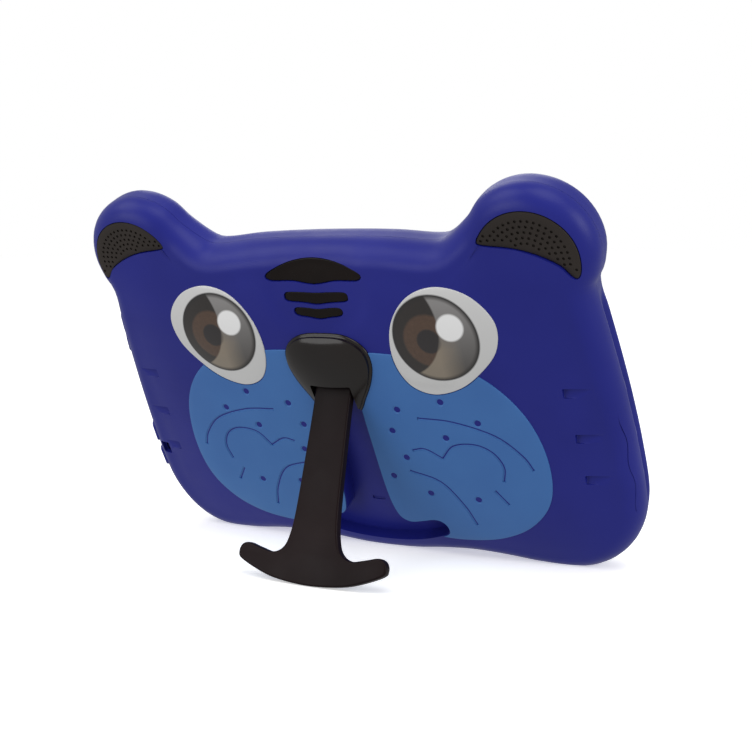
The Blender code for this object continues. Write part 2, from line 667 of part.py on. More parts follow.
def hinge_pieces():
    made = []
    bore = PIN_RADIUS + PIN_CLEARANCE
    for side, word in ((1, "left"), (-1, "right")):
        low, high = sorted((side * BLOCK_X, side * PIN_HALF_LENGTH))
        block = box(f"pin_block_{word}", (low, PIVOT_Y - BLOCK_REACH, -PIVOT_DEPTH - 2.2 * mm),
                    (high, PIVOT_Y + BLOCK_REACH, POCKET_TOP - GAP), "steel")
        cut(block, moved(cylinder("pin_hole", bore, 3 * PIN_HALF_LENGTH, axis="X"), PIVOT))
        washer = cylinder(f"friction_washer_{word}", BARREL_RADIUS - GAP, WASHER_THICKNESS, "steel",
                          axis="X")
        cut(washer, cylinder("pin_hole", bore, 4 * WASHER_THICKNESS, axis="X"))
        moved(washer, PIVOT + Vector((side * WASHER_X, 0, 0)))
        made += [block, washer]
    pin = cylinder("hinge_pin", PIN_RADIUS, 2 * PIN_HALF_LENGTH, "steel", axis="X")
    pin.location = PIVOT
    return made + [pin]


# The screen and what is inside ------------------------------------------------------------------
def screen_stack():
    shape = at_bearings_of(glass_outline(), case_outline())
    glass = plate("touch_glass", shape, -GLASS_THICKNESS, 0, "glass_grey")
    half = (SCREEN_HALF_WIDTH + PANEL_MARGIN, SCREEN_HALF_HEIGHT + PANEL_MARGIN)
    made = [glass]
    top = -GLASS_THICKNESS - GAP - LEDGE_THICKNESS - GAP
    for name, thickness, colour in (("lcd_panel", PANEL_THICKNESS, "screen"),
                                    ("backlight_unit", FRAME_THICKNESS, "cell_silver")):
        layer = plate(name, box_outline(*half, radius=1.5 * mm), top - thickness, top, colour)
        made.append(layer)
        top -= thickness + GAP
    shape = box_outline(half[0] + 2 * mm, half[1], radius=3 * mm)
    chassis = plate("chassis_plate", shape, top - CHASSIS_THICKNESS, top, "steel")
    made.append(chassis)
    return made


def inner_pieces():
    back = CHASSIS_BACK - GAP
    w, h, thick = BATTERY_SIZE
    shape = box_outline(w / 2, h / 2, BATTERY_MIDDLE, 2 * mm)
    made = [plate("battery", shape, back - thick, back, "cell_silver")]
    w, h, thick = BOARD_SIZE
    board_top = back - 1.2 * mm
    shape = box_outline(w / 2, h / 2, BOARD_MIDDLE, mm)
    board = plate("main_board", shape, board_top - thick, board_top, "board_green")
    for spot in SCREW_SPOTS:
        hole = circle_outline(SCREW_RADIUS + GAP, spot, 12)
        cut(board, plate("screw_hole", hole, board_top - 3 * thick, board_top + thick))
    made.append(board)
    below = board_top - thick - GAP
    for name, size, middle, colour in (("shield_can", SHIELD_SIZE, SHIELD_MIDDLE, "steel"),
                                       ("memory_chip", CHIP_SIZE, CHIP_MIDDLE, "part_black")):
        shape = box_outline(size[0] / 2, size[1] / 2, middle, 0.5 * mm)
        made.append(plate(name, shape, below - size[2], below, colour))
    for i, spot in enumerate(SCREW_SPOTS):
        head = circle_outline(SCREW_HEAD_RADIUS, spot, 12)
        screw = plate(f"board_screw_{i + 1}", head, below - 1.1 * mm, below, "steel")
        shank = circle_outline(SCREW_RADIUS, spot, 12)
        join(screw, plate("shank", shank, below - 0.5 * mm, board_top + 0.7 * mm))
        made.append(screw)
    made.append(camera())
    made += speakers()
    made += side_electrics()
    return made


def camera():
    back = -PARTING_DEPTH + 0.6 * mm
    shape = box_outline(3.4 * mm, 2.6 * mm, (0, CAMERA_Y))
    body = plate("camera_module", shape, back, back + 3.3 * mm, "part_black")
    barrel = circle_outline(CAMERA_RADIUS, (0, CAMERA_Y))
    return join(body, plate("barrel", barrel, back + 2 * mm, -GLASS_THICKNESS - GAP))


def speakers():
    made = []
    for side, word in ((1, "left"), (-1, "right")):
        middle = (side * SPEAKER_MIDDLE[0], SPEAKER_MIDDLE[1])
        back = -(PARTING_DEPTH + SPEAKER_DEPTH / 2)
        cone = circle_outline(SPEAKER_RADIUS, middle, 24)
        driver = plate(f"speaker_{word}", cone, back, back + SPEAKER_DEPTH, "part_black")
        magnet = circle_outline(SPEAKER_RADIUS * 0.6, middle, 20)
        made.append(join(driver, plate("magnet", magnet, back - 1.6 * mm, back + mm)))
    return made


def side_electrics():
    """The keys in the right-hand wall, the switches behind them and the charging port."""
    made = []
    flange_top = -WALL - FLANGE_DROP
    flange_low = flange_top - FLANGE_THICKNESS
    for name, (y, length) in KEYS.items():
        half = (length / 2, KEY_WIDTH / 2)
        shape = box_outline(*half, radius=KEY_CORNER)
        key = plate(name, shape, flange_low, KEY_PROUD, "case_blue")
        flange = box_outline(half[0] + FLANGE_BORDER[0], half[1] + FLANGE_BORDER[1])
        join(key, plate("flange", flange, flange_low, flange_top))
        frame = side_frame(y)
        key.data.transform(frame.to_3x3().to_4x4())
        key.location = frame.translation
        made.append(key)
    face = flange_low - KEY_TRAVEL - GAP
    w, h, thick = SWITCH_SIZE
    for name, (key, offset) in SWITCHES.items():
        shape = box_outline(w / 2, h / 2, (offset, 0))
        switch = plate(name, shape, face - thick, face, "part_black")
        switch.data.transform(side_frame(KEYS[key][0]))
        made.append(switch)
    x = wall_x(PORT_Y) - WALL - 8.5 * mm
    z = -RIM_DEPTH + 3.8 * mm
    made.append(box("usb_port", (x - PORT_LENGTH, PORT_Y - PORT_WIDTH / 2, z),
                    (x, PORT_Y + PORT_WIDTH / 2, z + PORT_HEIGHT), "steel"))
    return made


# Assembly ---------------------------------------------------------------------------------------
def stand_on_ground(pieces):
    """Leans the tablet's frame back and puts the middle of its footprint at the origin."""
    tablet = bpy.data.objects.new("tablet_frame", None)
    bpy.context.collection.objects.link(tablet)
    tablet.rotation_euler.x = pi / 2 - LEAN
    for piece in pieces:
        piece.parent = tablet
    bpy.context.view_layer.update()
    corners = [piece.matrix_world @ v.co for piece in pieces for v in piece.data.vertices]
    low = Vector(min(c[k] for c in corners) for k in range(3))
    high = Vector(max(c[k] for c in corners) for k in range(3))
    tablet.location = (-(low.x + high.x) / 2, -(low.y + high.y) / 2, -low.z)


def main():
    for obj in list(bpy.data.objects):
        bpy.data.objects.remove(obj)
    pieces = [front_frame(), rear_shell(), nose_cap(), stand_leg()]
    pieces += face_pieces() + hinge_pieces() + screen_stack() + inner_pieces()
    stand_on_ground(pieces)


main()
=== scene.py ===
from math import acos, atan2, cos, hypot, pi, radians, sin

import bpy
from mathutils import Matrix, Quaternion, Vector


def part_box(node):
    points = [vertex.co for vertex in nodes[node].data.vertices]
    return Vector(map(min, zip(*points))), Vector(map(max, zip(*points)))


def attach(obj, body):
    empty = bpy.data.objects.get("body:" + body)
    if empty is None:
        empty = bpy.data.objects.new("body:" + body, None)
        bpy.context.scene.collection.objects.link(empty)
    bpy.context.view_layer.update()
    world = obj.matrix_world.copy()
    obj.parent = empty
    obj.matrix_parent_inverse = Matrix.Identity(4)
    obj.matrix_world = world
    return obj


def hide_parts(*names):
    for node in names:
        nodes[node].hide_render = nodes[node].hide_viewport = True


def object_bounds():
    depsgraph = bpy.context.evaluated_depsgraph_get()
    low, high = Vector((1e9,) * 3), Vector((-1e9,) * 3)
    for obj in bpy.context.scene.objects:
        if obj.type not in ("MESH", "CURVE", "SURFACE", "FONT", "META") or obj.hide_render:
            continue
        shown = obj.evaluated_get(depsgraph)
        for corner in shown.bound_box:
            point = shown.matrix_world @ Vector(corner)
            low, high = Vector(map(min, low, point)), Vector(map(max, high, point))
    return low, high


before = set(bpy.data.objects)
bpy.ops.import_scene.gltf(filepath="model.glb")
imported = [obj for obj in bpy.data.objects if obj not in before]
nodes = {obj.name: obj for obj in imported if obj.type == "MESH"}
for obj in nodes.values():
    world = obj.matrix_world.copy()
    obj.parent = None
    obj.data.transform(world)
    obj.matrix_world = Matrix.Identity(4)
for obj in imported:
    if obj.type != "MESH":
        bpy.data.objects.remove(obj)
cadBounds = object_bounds()
mm = 0.001

# sizes that several pieces share, in metres; they repeat the CAD model's
case = {
    "lean": radians(26), "gap": 0.3 * mm,
    "halfWidth": 98.5 * mm, "top": 65.3 * mm, "bottom": 62.5 * mm,
    "neckHalfWidth": 91.5 * mm, "neckHeight": 47 * mm,
    "bulgeX": 71 * mm, "bottomWave": 3.5 * mm,
    "earX": 73 * mm, "earY": 60 * mm, "earRadius": 22 * mm,
    "rimDepth": 15.5 * mm, "crown": 6.5 * mm, "rearRound": 8 * mm, "parting": 7 * mm,
    "wall": 2 * mm, "lipHeight": 1 * mm, "baseFlat": 0.6 * mm,
    "around": 336,
}
glass = {"halfWidth": 94.6 * mm, "top": 59.5 * mm, "bottom": 54.4 * mm, "thickness": 1.1 * mm}
screen = {"halfWidth": 77.1 * mm, "halfHeight": 42.95 * mm}
leg = {
    "pivotY": 18 * mm, "pivotDepth": 19.5 * mm, "pinRadius": 1 * mm, "pinRoom": 0.25 * mm,
    "barrel": 2.4 * mm, "reach": 71 * mm, "topHalf": 7 * mm, "lowHalf": 8.6 * mm, "thickness": 3.4 * mm,
    "footHalf": 28.5 * mm, "footDepth": 10.5 * mm, "footFlat": 0.7 * mm, "foldTilt": radians(2.5),
    "room": 0.8 * mm, "edge": 0.7 * mm, "blockGap": 1.2 * mm, "block": 3.2 * mm,
    "swing": 14 * mm,  # clear space behind the folded leg
}


def smoothLoop(points, steps=5):
    curve, count = [], len(points)
    for i in range(count):
        a, b, c, d = (Vector(points[(i + k) % count]) for k in (-1, 0, 1, 2))
        for k in range(steps):
            t = k / steps
            curve.append(0.5 * (2 * b + (c - a) * t + (2 * a - 5 * b + 4 * c - d) * t**2
                                + (3 * b - a - 3 * c + d) * t**3))
    return curve


def smoothPath(points, steps=5):
    before, after = 2 * Vector(points[0]) - Vector(points[1]), 2 * Vector(points[-1]) - Vector(points[-2])
    curve = smoothLoop([before, *points, after], steps)
    return curve[steps:len(points) * steps + 1]


def mirrorHalf(half):
    return half + [(-x, y) for x, y in reversed(half[1:-1])]


def offsetLoop(loop, distance):
    moved = []
    for i, point in enumerate(loop):
        along = loop[(i + 1) % len(loop)] - loop[i - 1]
        moved.append(point + distance * Vector((-along.y, along.x)).normalized())
    return moved


def arcPoints(centre, radius, first, last, count):
    turns = [radians(first + (last - first) * i / (count - 1)) for i in range(count)]
    return [(centre[0] + radius * cos(a), centre[1] + radius * sin(a)) for a in turns]


def evenLoop(loop, count):
    # the same closed line with its points evenly spaced
    lengths = [(loop[(i + 1) % len(loop)] - p).length for i, p in enumerate(loop)]
    step, made, i, passed = sum(lengths) / count, [], 0, 0.0
    for k in range(count):
        while k * step > passed + lengths[i]:
            passed += lengths[i]
            i += 1
        made.append(loop[i].lerp(loop[(i + 1) % len(loop)], (k * step - passed) / lengths[i]))
    return made


def boxLoop(halfWidth, halfHeight, centre=(0, 0), radius=0.5 * mm, corner=6):
    x, y, points = halfWidth - radius, halfHeight - radius, []
    for i, j, start in ((1, 1, 90), (1, -1, 0), (-1, -1, -90), (-1, 1, -180)):
        points += arcPoints((centre[0] + i * x, centre[1] + j * y), radius, start, start - 90, corner)
    return [Vector(p) for p in points]


def circleLoop(radius, centre=(0, 0), sides=32):
    return [Vector(p) for p in arcPoints(centre, radius, 90, 90 - 360 + 360 / sides, sides)]


def otherSide(loop):
    return [Vector((-p.x, p.y)) for p in reversed(loop)]


def atBearings(shape, guide):
    # points of the shape on the same bearings from the middle as the guide's points
    found = []
    for ray in guide:
        best = None
        for a, b in zip(shape, shape[1:] + shape[:1]):
            edge = b - a
            cross = ray.x * edge.y - ray.y * edge.x
            if abs(cross) < 1e-15:
                continue
            alongRay = (a.x * edge.y - a.y * edge.x) / cross
            alongEdge = (a.x * ray.y - a.y * ray.x) / cross
            if alongRay > 0 and -1e-9 <= alongEdge <= 1 + 1e-9:
                best = ray * alongRay
        found.append(best)
    return found


def insideLoop(point, loop):
    hits = False
    for a, b in zip(loop, loop[1:] + loop[:1]):
        if (a.y > point[1]) != (b.y > point[1]):
            if point[0] < a.x + (point[1] - a.y) / (b.y - a.y) * (b.x - a.x):
                hits = not hits
    return hits


def makeCaseLoop():
    top = [(0, case["top"]), (24 * mm, case["top"] - 0.5 * mm), (40 * mm, case["top"] - 1.9 * mm),
           (case["earX"] - case["earRadius"] - 5 * mm, case["top"] - 0.8 * mm)]
    ear = arcPoints((case["earX"], case["earY"]), case["earRadius"], 150, -20, 9)
    drop = case["neckHeight"] + case["bottom"] / 2
    rise = case["halfWidth"] - case["neckHalfWidth"]
    side = [(case["neckHalfWidth"] + rise * sin(t * pi / 2), case["neckHeight"] - drop * t)
            for t in (0, 0.14, 0.35, 0.56, 0.78)]
    reach = case["halfWidth"] - case["bulgeX"]
    corner = [(case["bulgeX"] + reach * cos(radians(a)), -case["bottom"] / 2 * (1 + sin(radians(a))))
              for a in (0, 18, 36, 54, 72)]
    wave = [(case["bulgeX"] * t, -case["bottom"] + case["bottomWave"] * sin(pi * t) ** 2)
            for t in (1, 0.83, 0.66, 0.5, 0.34, 0.17, 0)]
    return evenLoop(smoothLoop(mirrorHalf(top + ear + side + corner + wave), 8), case["around"])


caseLoop = makeCaseLoop()


def glassLoop(grow=0.0):
    w = glass["halfWidth"]
    top = arcPoints((w - 25.6 * mm, glass["top"] - 20 * mm), 20 * mm, 90, 0, 4)
    low = arcPoints((w - 17.6 * mm, 15 * mm - glass["bottom"]), 15 * mm, 0, -90, 4)
    half = [(0, glass["top"]), (w - 50 * mm, glass["top"])] + top
    half += [(w - 2.3 * mm, 18 * mm), (w, -8 * mm), (w - 0.2 * mm, -27 * mm)]
    half += low + [(w - 50 * mm, -glass["bottom"]), (0, -glass["bottom"])]
    return offsetLoop(evenLoop(smoothLoop(mirrorHalf(half), 6), 200), grow)


def eyeLoop(grow=0.0):
    points = [(44, 52.8), (55, 49.6), (62, 41), (61, 31), (54, 22.5), (46, 16.8), (36.5, 14.6),
              (28.6, 18.4), (24.8, 28), (26.4, 40), (33.5, 49.4)]
    return offsetLoop(smoothLoop([(x * mm, y * mm) for x, y in points], 12), grow)


def cheekLoop(grow=0.0):
    points = [(12, 29.3), (24, 29.6), (44, 27), (58, 18.5), (67.5, 5), (71.6, -12), (70, -28),
              (62, -39.5), (50, -46.5), (36, -49.2), (24, -48.6), (14, -44), (8, -36), (5.5, -10),
              (5.5, 10), (7, 24)]
    return offsetLoop(evenLoop(smoothLoop([(x * mm, y * mm) for x, y in points], 8), 160), grow)


def noseLoop(grow=0.0):
    half = [(0, 36.3), (9, 35.6), (15, 31.5), (16.5, 25.5), (14.6, 18.5), (10.8, 11.5), (7.2, 6), (0, 4.6)]
    return offsetLoop(evenLoop(smoothLoop(mirrorHalf([(x * mm, y * mm) for x, y in half]), 8), 96), grow)


grille = {"centre": (case["earX"] + 1 * mm, case["earY"] - 0.7 * mm), "radius": case["earRadius"] - 5.6 * mm,
          "thickness": 0.8 * mm, "sink": 0.3 * mm, "hole": 0.48 * mm, "pitch": 1.95 * mm,
          "holeDepth": 0.5 * mm, "border": 1.15 * mm}


def grilleLoop(grow=0.0):
    r, (cx, cy) = grille["radius"], grille["centre"]
    upper = arcPoints((cx, cy), r, 155, -14, 15)
    tip = [(cx + r * 0.90, cy - r * 0.33), (cx + r * 0.80, cy - r * 0.26)]
    lower = [(cx + r * x, cy + r * y) for x, y in ((0.62, -0.06), (0.22, 0.15), (-0.25, 0.29), (-0.8, 0.355))]
    return offsetLoop(smoothLoop(upper + tip + lower, 3), grow)


def legLoop(grow=0.0):
    tips, tipRadius, top = leg["reach"] - leg["footDepth"], 3.2 * mm, leg["topHalf"]
    half = [(0, leg["barrel"]), (top - 1 * mm, leg["barrel"]), (top - 0.1 * mm, leg["barrel"] - 0.1 * mm),
            (top, leg["barrel"] - 1 * mm), (top, -12 * mm), (top + 0.4 * mm, -26 * mm),
            (leg["lowHalf"] - 0.4 * mm, 14 * mm - tips), (leg["lowHalf"] + 0.7 * mm, 5.6 * mm - tips),
            (leg["lowHalf"] + 2.6 * mm, 1.2 * mm - tips), (leg["lowHalf"] + 6.5 * mm, -0.7 * mm - tips),
            (leg["footHalf"] - 8 * mm, 0.3 * mm - tips)]
    half += arcPoints((leg["footHalf"] - tipRadius, -tips - tipRadius + 1.4 * mm), tipRadius, 95, -60, 4)
    half += [(leg["footHalf"] * sin(a), -tips - leg["footDepth"] * cos(a))
             for a in (radians(40), radians(22))]
    half += [(0, -leg["reach"])]
    return offsetLoop(smoothLoop(mirrorHalf(half), 5), grow)


def softStep(value):
    value = min(1.0, max(0.0, value))
    return value * value * (3 - 2 * value)


def backDepth(x, y):
    across = max(0.0, 1 - (x / (case["halfWidth"] - case["rearRound"])) ** 4)
    up = max(0.0, 1 - (y / (case["bottom"] + 1.5 * mm)) ** 4)
    dip = softStep((1.08 - hypot(x / (20 * mm), (y - 49 * mm) / (14 * mm))) / 0.3)  # round the stripes
    return case["rimDepth"] + case["crown"] * across * up - 0.7 * mm * dip


def wallX(y):
    right = [p for p in caseLoop if p.x > case["halfWidth"] / 2]
    below = max((p for p in right if p.y <= y), key=lambda p: p.y)
    above = min((p for p in right if p.y > y), key=lambda p: p.y)
    return below.x + (y - below.y) / (above.y - below.y) * (above.x - below.x)


def sideFrame(y):
    # on the rounded right wall: X runs up it and Z points outwards
    step, angle, roundness = 5 * mm, radians(24), case["rearRound"]
    along = Vector((wallX(y + step) - wallX(y - step), 2 * step, 0)).normalized()
    level = Vector((along.y, -along.x, 0))
    outward = cos(angle) * level - Vector((0, 0, sin(angle)))
    centre = Vector((wallX(y), y, roundness - case["rimDepth"])) - roundness * level
    turn = Matrix((along, outward.cross(along), outward)).transposed().to_4x4()
    return Matrix.Translation(centre + roundness * outward) @ turn


def groundHeight():
    y, z = case["rearRound"] - case["bottom"], case["rearRound"] - case["rimDepth"]
    return y * cos(case["lean"]) + z * sin(case["lean"]) - case["rearRound"] + case["baseFlat"]


def openAngle():
    height = leg["pivotY"] * cos(case["lean"]) - leg["pivotDepth"] * sin(case["lean"]) - groundHeight()
    half, reach = leg["thickness"] / 2, leg["reach"]
    return case["lean"] + acos((height + leg["footFlat"]) / hypot(reach, half)) + atan2(half, reach)


pivot = Vector((0, leg["pivotY"], -leg["pivotDepth"]))
leanBack = Matrix.Rotation(pi / 2 - case["lean"], 4, "X")
lcdLow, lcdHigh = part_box("lcd_panel")
lcdMiddle = Vector((0, 0, -3.9 * mm))  # the panel's middle, behind the glass
tabletPlace = Matrix.Translation((lcdLow + lcdHigh) / 2 - leanBack @ lcdMiddle) @ leanBack


def selectNone():
    bpy.ops.object.select_all(action="DESELECT")


def selectOnly(piece):
    selectNone()
    piece.select_set(True)
    bpy.context.view_layer.objects.active = piece


def named(name):
    piece = bpy.context.object
    piece.name = piece.data.name = name
    return piece


def joinAll(pieces):
    selectNone()
    for piece in pieces:
        piece.select_set(True)
    bpy.context.view_layer.objects.active = pieces[0]
    bpy.ops.object.join()
    return bpy.context.object


def closeUp(piece):
    selectOnly(piece)
    bpy.ops.object.mode_set(mode="EDIT")
    bpy.ops.mesh.select_all(action="SELECT")
    bpy.ops.mesh.remove_doubles(threshold=1e-6)
    bpy.ops.mesh.select_all(action="SELECT")
    bpy.ops.mesh.fill_holes(sides=0)
    bpy.ops.mesh.select_all(action="SELECT")
    bpy.ops.mesh.normals_make_consistent(inside=False)
    bpy.ops.object.mode_set(mode="OBJECT")


def wrapGrid(name, rings):
    # a grid whose rows are laid along the rings; open ends are filled
    around = len(rings[0])
    selectNone()
    bpy.ops.mesh.primitive_grid_add(x_subdivisions=around, y_subdivisions=len(rings) - 1, size=1)
    piece = named(name)
    places = [c for ring in rings for k in range(around + 1) for c in ring[k % around]]
    piece.data.vertices.foreach_set("co", places)
    closeUp(piece)
    return piece


def level(loop, z):
    return [(p.x, p.y, z) for p in loop]


def plate(name, loop, low, high, edge=0.0, steps=3):
    # a flat piece with a rounded edge at both ends
    if not edge:
        return wrapGrid(name, [level(loop, low), level(loop, high)])
    turns = [pi / 2 * k / steps for k in range(steps + 1)]
    rings = [level(offsetLoop(loop, -edge * (1 - sin(a))), low + edge * (1 - cos(a))) for a in turns]
    rings += [level(offsetLoop(loop, -edge * (1 - sin(a))), high - edge * (1 - cos(a)))
              for a in reversed(turns)]
    return wrapGrid(name, rings)


def carve(piece, tool, operation="DIFFERENCE"):
    selectOnly(piece)
    step = piece.modifiers.new("carve", "BOOLEAN")
    step.operation, step.object, step.solver = operation, tool, "MANIFOLD"
    bpy.ops.object.modifier_apply(modifier=step.name)
    bpy.data.objects.remove(tool)
    return piece


def move(piece, matrix):
    selectOnly(piece)
    piece.matrix_world = matrix @ piece.matrix_world
    bpy.ops.object.transform_apply(location=True, rotation=True, scale=True)
    return piece


def softBox(name, size, centre, edge, turn=0.0):
    selectNone()
    bpy.ops.mesh.primitive_cube_add(size=1, location=(0, 0, 0))
    piece = named(name)
    piece.scale = size
    bpy.ops.object.transform_apply(location=False, rotation=False, scale=True)
    bpy.ops.object.mode_set(mode="EDIT")
    bpy.ops.mesh.select_all(action="SELECT")
    bpy.ops.mesh.bevel(offset=edge, segments=3)
    bpy.ops.object.mode_set(mode="OBJECT")
    return move(piece, Matrix.Translation(centre) @ Matrix.Rotation(turn, 4, "X"))


def rod(name, radius, length, centre, axis="Z", sides=32):
    selectNone()
    bpy.ops.mesh.primitive_cylinder_add(vertices=sides, radius=radius, depth=length)
    piece = named(name)
    turn = Matrix.Rotation(pi / 2, 4, "Y") if axis == "X" else Matrix.Identity(4)
    return move(piece, Matrix.Translation(centre) @ turn)


def tube(name, path, radius, sides=8):
    rings = []
    for i, point in enumerate(path):
        along = (path[min(i + 1, len(path) - 1)] - path[max(i - 1, 0)]).normalized()
        side = along.cross(Vector((0, 0, 1))).normalized()
        up = side.cross(along)
        rings.append([point + radius * (cos(a) * side + sin(a) * up)
                      for a in (2 * pi * k / sides for k in range(sides))])
    return wrapGrid(name, rings)


def legTool(grow, below, above):
    half = leg["thickness"] / 2
    tool = plate("legTool", legLoop(grow), -half - above, half + below)
    return move(tool, Matrix.Translation(pivot) @ Matrix.Rotation(-leg["foldTilt"], 4, "X"))


def belowGround():
    reach = 3 * case["halfWidth"]
    selectNone()
    bpy.ops.mesh.primitive_cube_add(size=2, location=(0, 0, -1))
    tool = bpy.context.object
    tool.scale = (reach, reach, 1)
    upright = Matrix.Rotation(case["lean"] - pi / 2, 4, "X")
    return move(tool, upright @ Matrix.Translation((0, 0, groundHeight())))


def backPad(name, loop, inner, outer, edge=0.25 * mm, dome=0.0, power=1.0, rows=12):
    # follows the back of the case, from inner to outer past it, with a rounded edge and a dome
    middle = sum(loop, Vector((0, 0))) / len(loop)
    rings = []

    def ring(share, offset, tight=0.0):
        points = [middle + share * (p - middle) for p in offsetLoop(loop, -tight)]
        bulge = dome * max(0.0, 1 - share**2) ** power
        return [(p.x, p.y, -backDepth(p.x, p.y) - offset - bulge) for p in points]

    for share in (0.0, 0.3, 0.6, 0.85, 1.0):
        points = [middle + share * (p - middle) for p in loop]
        rings.append([(p.x, p.y, -backDepth(p.x, p.y) - inner) for p in points])
    for angle in (0, 30, 60, 90):
        a = radians(angle)
        rings.append(ring(1.0, outer - edge * (1 - sin(a)), edge * (1 - cos(a))))
    shrink = 1 - edge / (loop[0] - middle).length
    for k in range(1, rows + 1):
        rings.append(ring(shrink * cos(pi / 2 * k / rows) if power < 1 else shrink * (1 - k / rows), outer))
    return wrapGrid(name, rings)


def finish(piece, name, look, body="tablet", replaced=(), place=None, angle=38):
    move(piece, place or tabletPlace)
    piece.name = piece.data.name = name
    selectOnly(piece)
    bpy.ops.object.shade_smooth_by_angle(angle=radians(angle))
    piece.data.materials.clear()
    piece.data.materials.append(look)
    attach(piece, body)
    if replaced:
        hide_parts(*replaced)
    return piece


def linear(code):
    parts = [int(code[i:i + 2], 16) / 255 for i in (1, 3, 5)]
    return [p / 12.92 if p <= 0.04045 else ((p + 0.055) / 1.055) ** 2.4 for p in parts] + [1.0]


def addNode(tree, kind, inputs=None, output=0, **settings):
    # an input is a plain value, a hex colour, or another node's output, which is linked
    node = tree.nodes.new("ShaderNode" + kind)
    for key, value in settings.items():
        setattr(node, key, value)
    for key, value in (inputs or {}).items():
        if isinstance(value, bpy.types.NodeSocket):
            tree.links.new(value, node.inputs[key])
        else:
            node.inputs[key].default_value = linear(value) if isinstance(value, str) else value
    return node.outputs[output]


def newMaterial(name, **sockets):
    material = bpy.data.materials.new(name)
    material.use_nodes = True
    tree = material.node_tree
    for key, value in sockets.items():
        tree.nodes["Principled BSDF"].inputs[key.replace("_", " ")].default_value = value
    return material, tree, addNode(tree, "TexCoord", output="Object")


def dress(material, colour, wear, rough, relief=None, depth=0.0, wearEnds=(0.3, 0.7), **others):
    # links the colour, a roughness that follows the wear pattern, and the relief
    tree = material.node_tree
    links = {"Base Color": colour, "Roughness": addNode(
        tree, "MapRange", {0: wear, 1: wearEnds[0], 2: wearEnds[1], 3: rough[0], 4: rough[1]})}
    if relief is not None:
        links["Normal"] = addNode(tree, "Bump", {"Height": relief, "Distance": depth, "Strength": 1.0})
    for key, source in (links | others).items():
        tree.links.new(source, tree.nodes["Principled BSDF"].inputs[key.replace("_", " ")])
    return material


def mouldedPlastic(name, light, dark, low, high, grain, depth, **sockets):
    # a moulded skin: fine spark grain, slow changes of tone, and handling that polishes it in patches
    material, tree, coords = newMaterial(name, IOR=1.5, **sockets)
    blotch = addNode(tree, "TexNoise", {"Vector": coords, "Scale": 1 / (45 * mm), "Detail": 3.0})
    tone = addNode(tree, "MapRange", {0: blotch, 1: 0.35, 2: 0.65, 3: 0.0, 4: 1.0})
    colour = addNode(tree, "Mix", {0: tone, 6: dark, 7: light}, 2, data_type="RGBA")
    rub = addNode(tree, "TexNoise", {"Vector": coords, "Scale": 1 / (14 * mm), "Detail": 4.0,
                                     "Roughness": 0.6})
    spark = addNode(tree, "TexNoise", {"Vector": coords, "Scale": 1 / grain, "Detail": 2.0})
    return dress(material, colour, rub, (low, high), spark, depth)


# injection-moulded ABS: satin, so highlights are soft and wide; the grain is drawn at 0.5 mm to show
caseBlue = mouldedPlastic("mouldedBlueAbs", "#1f2586", "#1a207d", 0.34, 0.46, 0.5 * mm, 0.012 * mm,
                          Specular_IOR_Level=0.25)
keyBlue = mouldedPlastic("mouldedBlueKeyAbs", "#242a8e", "#202688", 0.28, 0.4, 0.5 * mm, 0.008 * mm,
                         Specular_IOR_Level=0.3)
# the cheeks' plastic is matter, with a slightly coarser spark grain
cheekBlue = mouldedPlastic("mouldedCheekAbs", "#4476b6", "#3e6dae", 0.42, 0.54, 0.6 * mm, 0.018 * mm,
                           Specular_IOR_Level=0.25)
# glossy ABS: sharp reflections, a little orange peel 3 mm across
noseGloss = mouldedPlastic("glossyBrownBlackAbs", "#170e0a", "#100a07", 0.14, 0.22, 3 * mm, 0.015 * mm,
                           Specular_IOR_Level=0.4)
stripeGloss = mouldedPlastic("glossyStripeAbs", "#18100d", "#120c0a", 0.22, 0.34, 2 * mm, 0.02 * mm,
                             Specular_IOR_Level=0.14)
# satin nylon for the stand: dark brown, faintly sheened by wear
standNylon = mouldedPlastic("satinStandNylon", "#1c1112", "#140c0d", 0.3, 0.42, 0.4 * mm, 0.012 * mm,
                            Specular_IOR_Level=0.1)
grillePlastic = mouldedPlastic("mattGrilleAbs", "#322b27", "#29231f", 0.5, 0.62, 0.35 * mm, 0.02 * mm,
                               Specular_IOR_Level=0.25)
partBlack = mouldedPlastic("blackPartNylon", "#1b1b1c", "#151516", 0.4, 0.55, 0.5 * mm, 0.02 * mm)


def makeBorderGlass():
    # chemically hardened glass, printed light grey on its back: flat, bright and very smooth
    material, tree, coords = newMaterial("printedBorderGlass", IOR=1.5, Specular_IOR_Level=0.14)
    ink = addNode(tree, "TexNoise", {"Vector": coords, "Scale": 1 / (60 * mm), "Detail": 2.0})
    colour = addNode(tree, "Mix", {0: ink, 6: "#dcdbdd", 7: "#e4e3e4"}, 2, data_type="RGBA")
    smear = addNode(tree, "TexNoise", {"Vector": coords, "Scale": 1 / (22 * mm), "Detail": 5.0,
                                       "Roughness": 0.6})
    waves = addNode(tree, "TexNoise", {"Vector": coords, "Scale": 1 / (30 * mm), "Detail": 1.0})
    return dress(material, colour, smear, (0.25, 0.3), waves, 0.01 * mm)


def makeDisplay():
    # a lit liquid-crystal picture: its colours come from the picture's own shapes
    material, tree, coords = newMaterial("litDisplay", IOR=1.5, Specular_IOR_Level=0.12,
                                         Emission_Strength=0.74)
    lit = addNode(tree, "Attribute", output="Color", attribute_name="picture")
    colour = addNode(tree, "Mix", {0: 0.8, 6: lit, 7: "#05080a"}, 2, data_type="RGBA")
    smear = addNode(tree, "TexNoise", {"Vector": coords, "Scale": 1 / (22 * mm), "Detail": 5.0,
                                       "Roughness": 0.6})
    return dress(material, colour, smear, (0.1, 0.2), Emission_Color=lit)


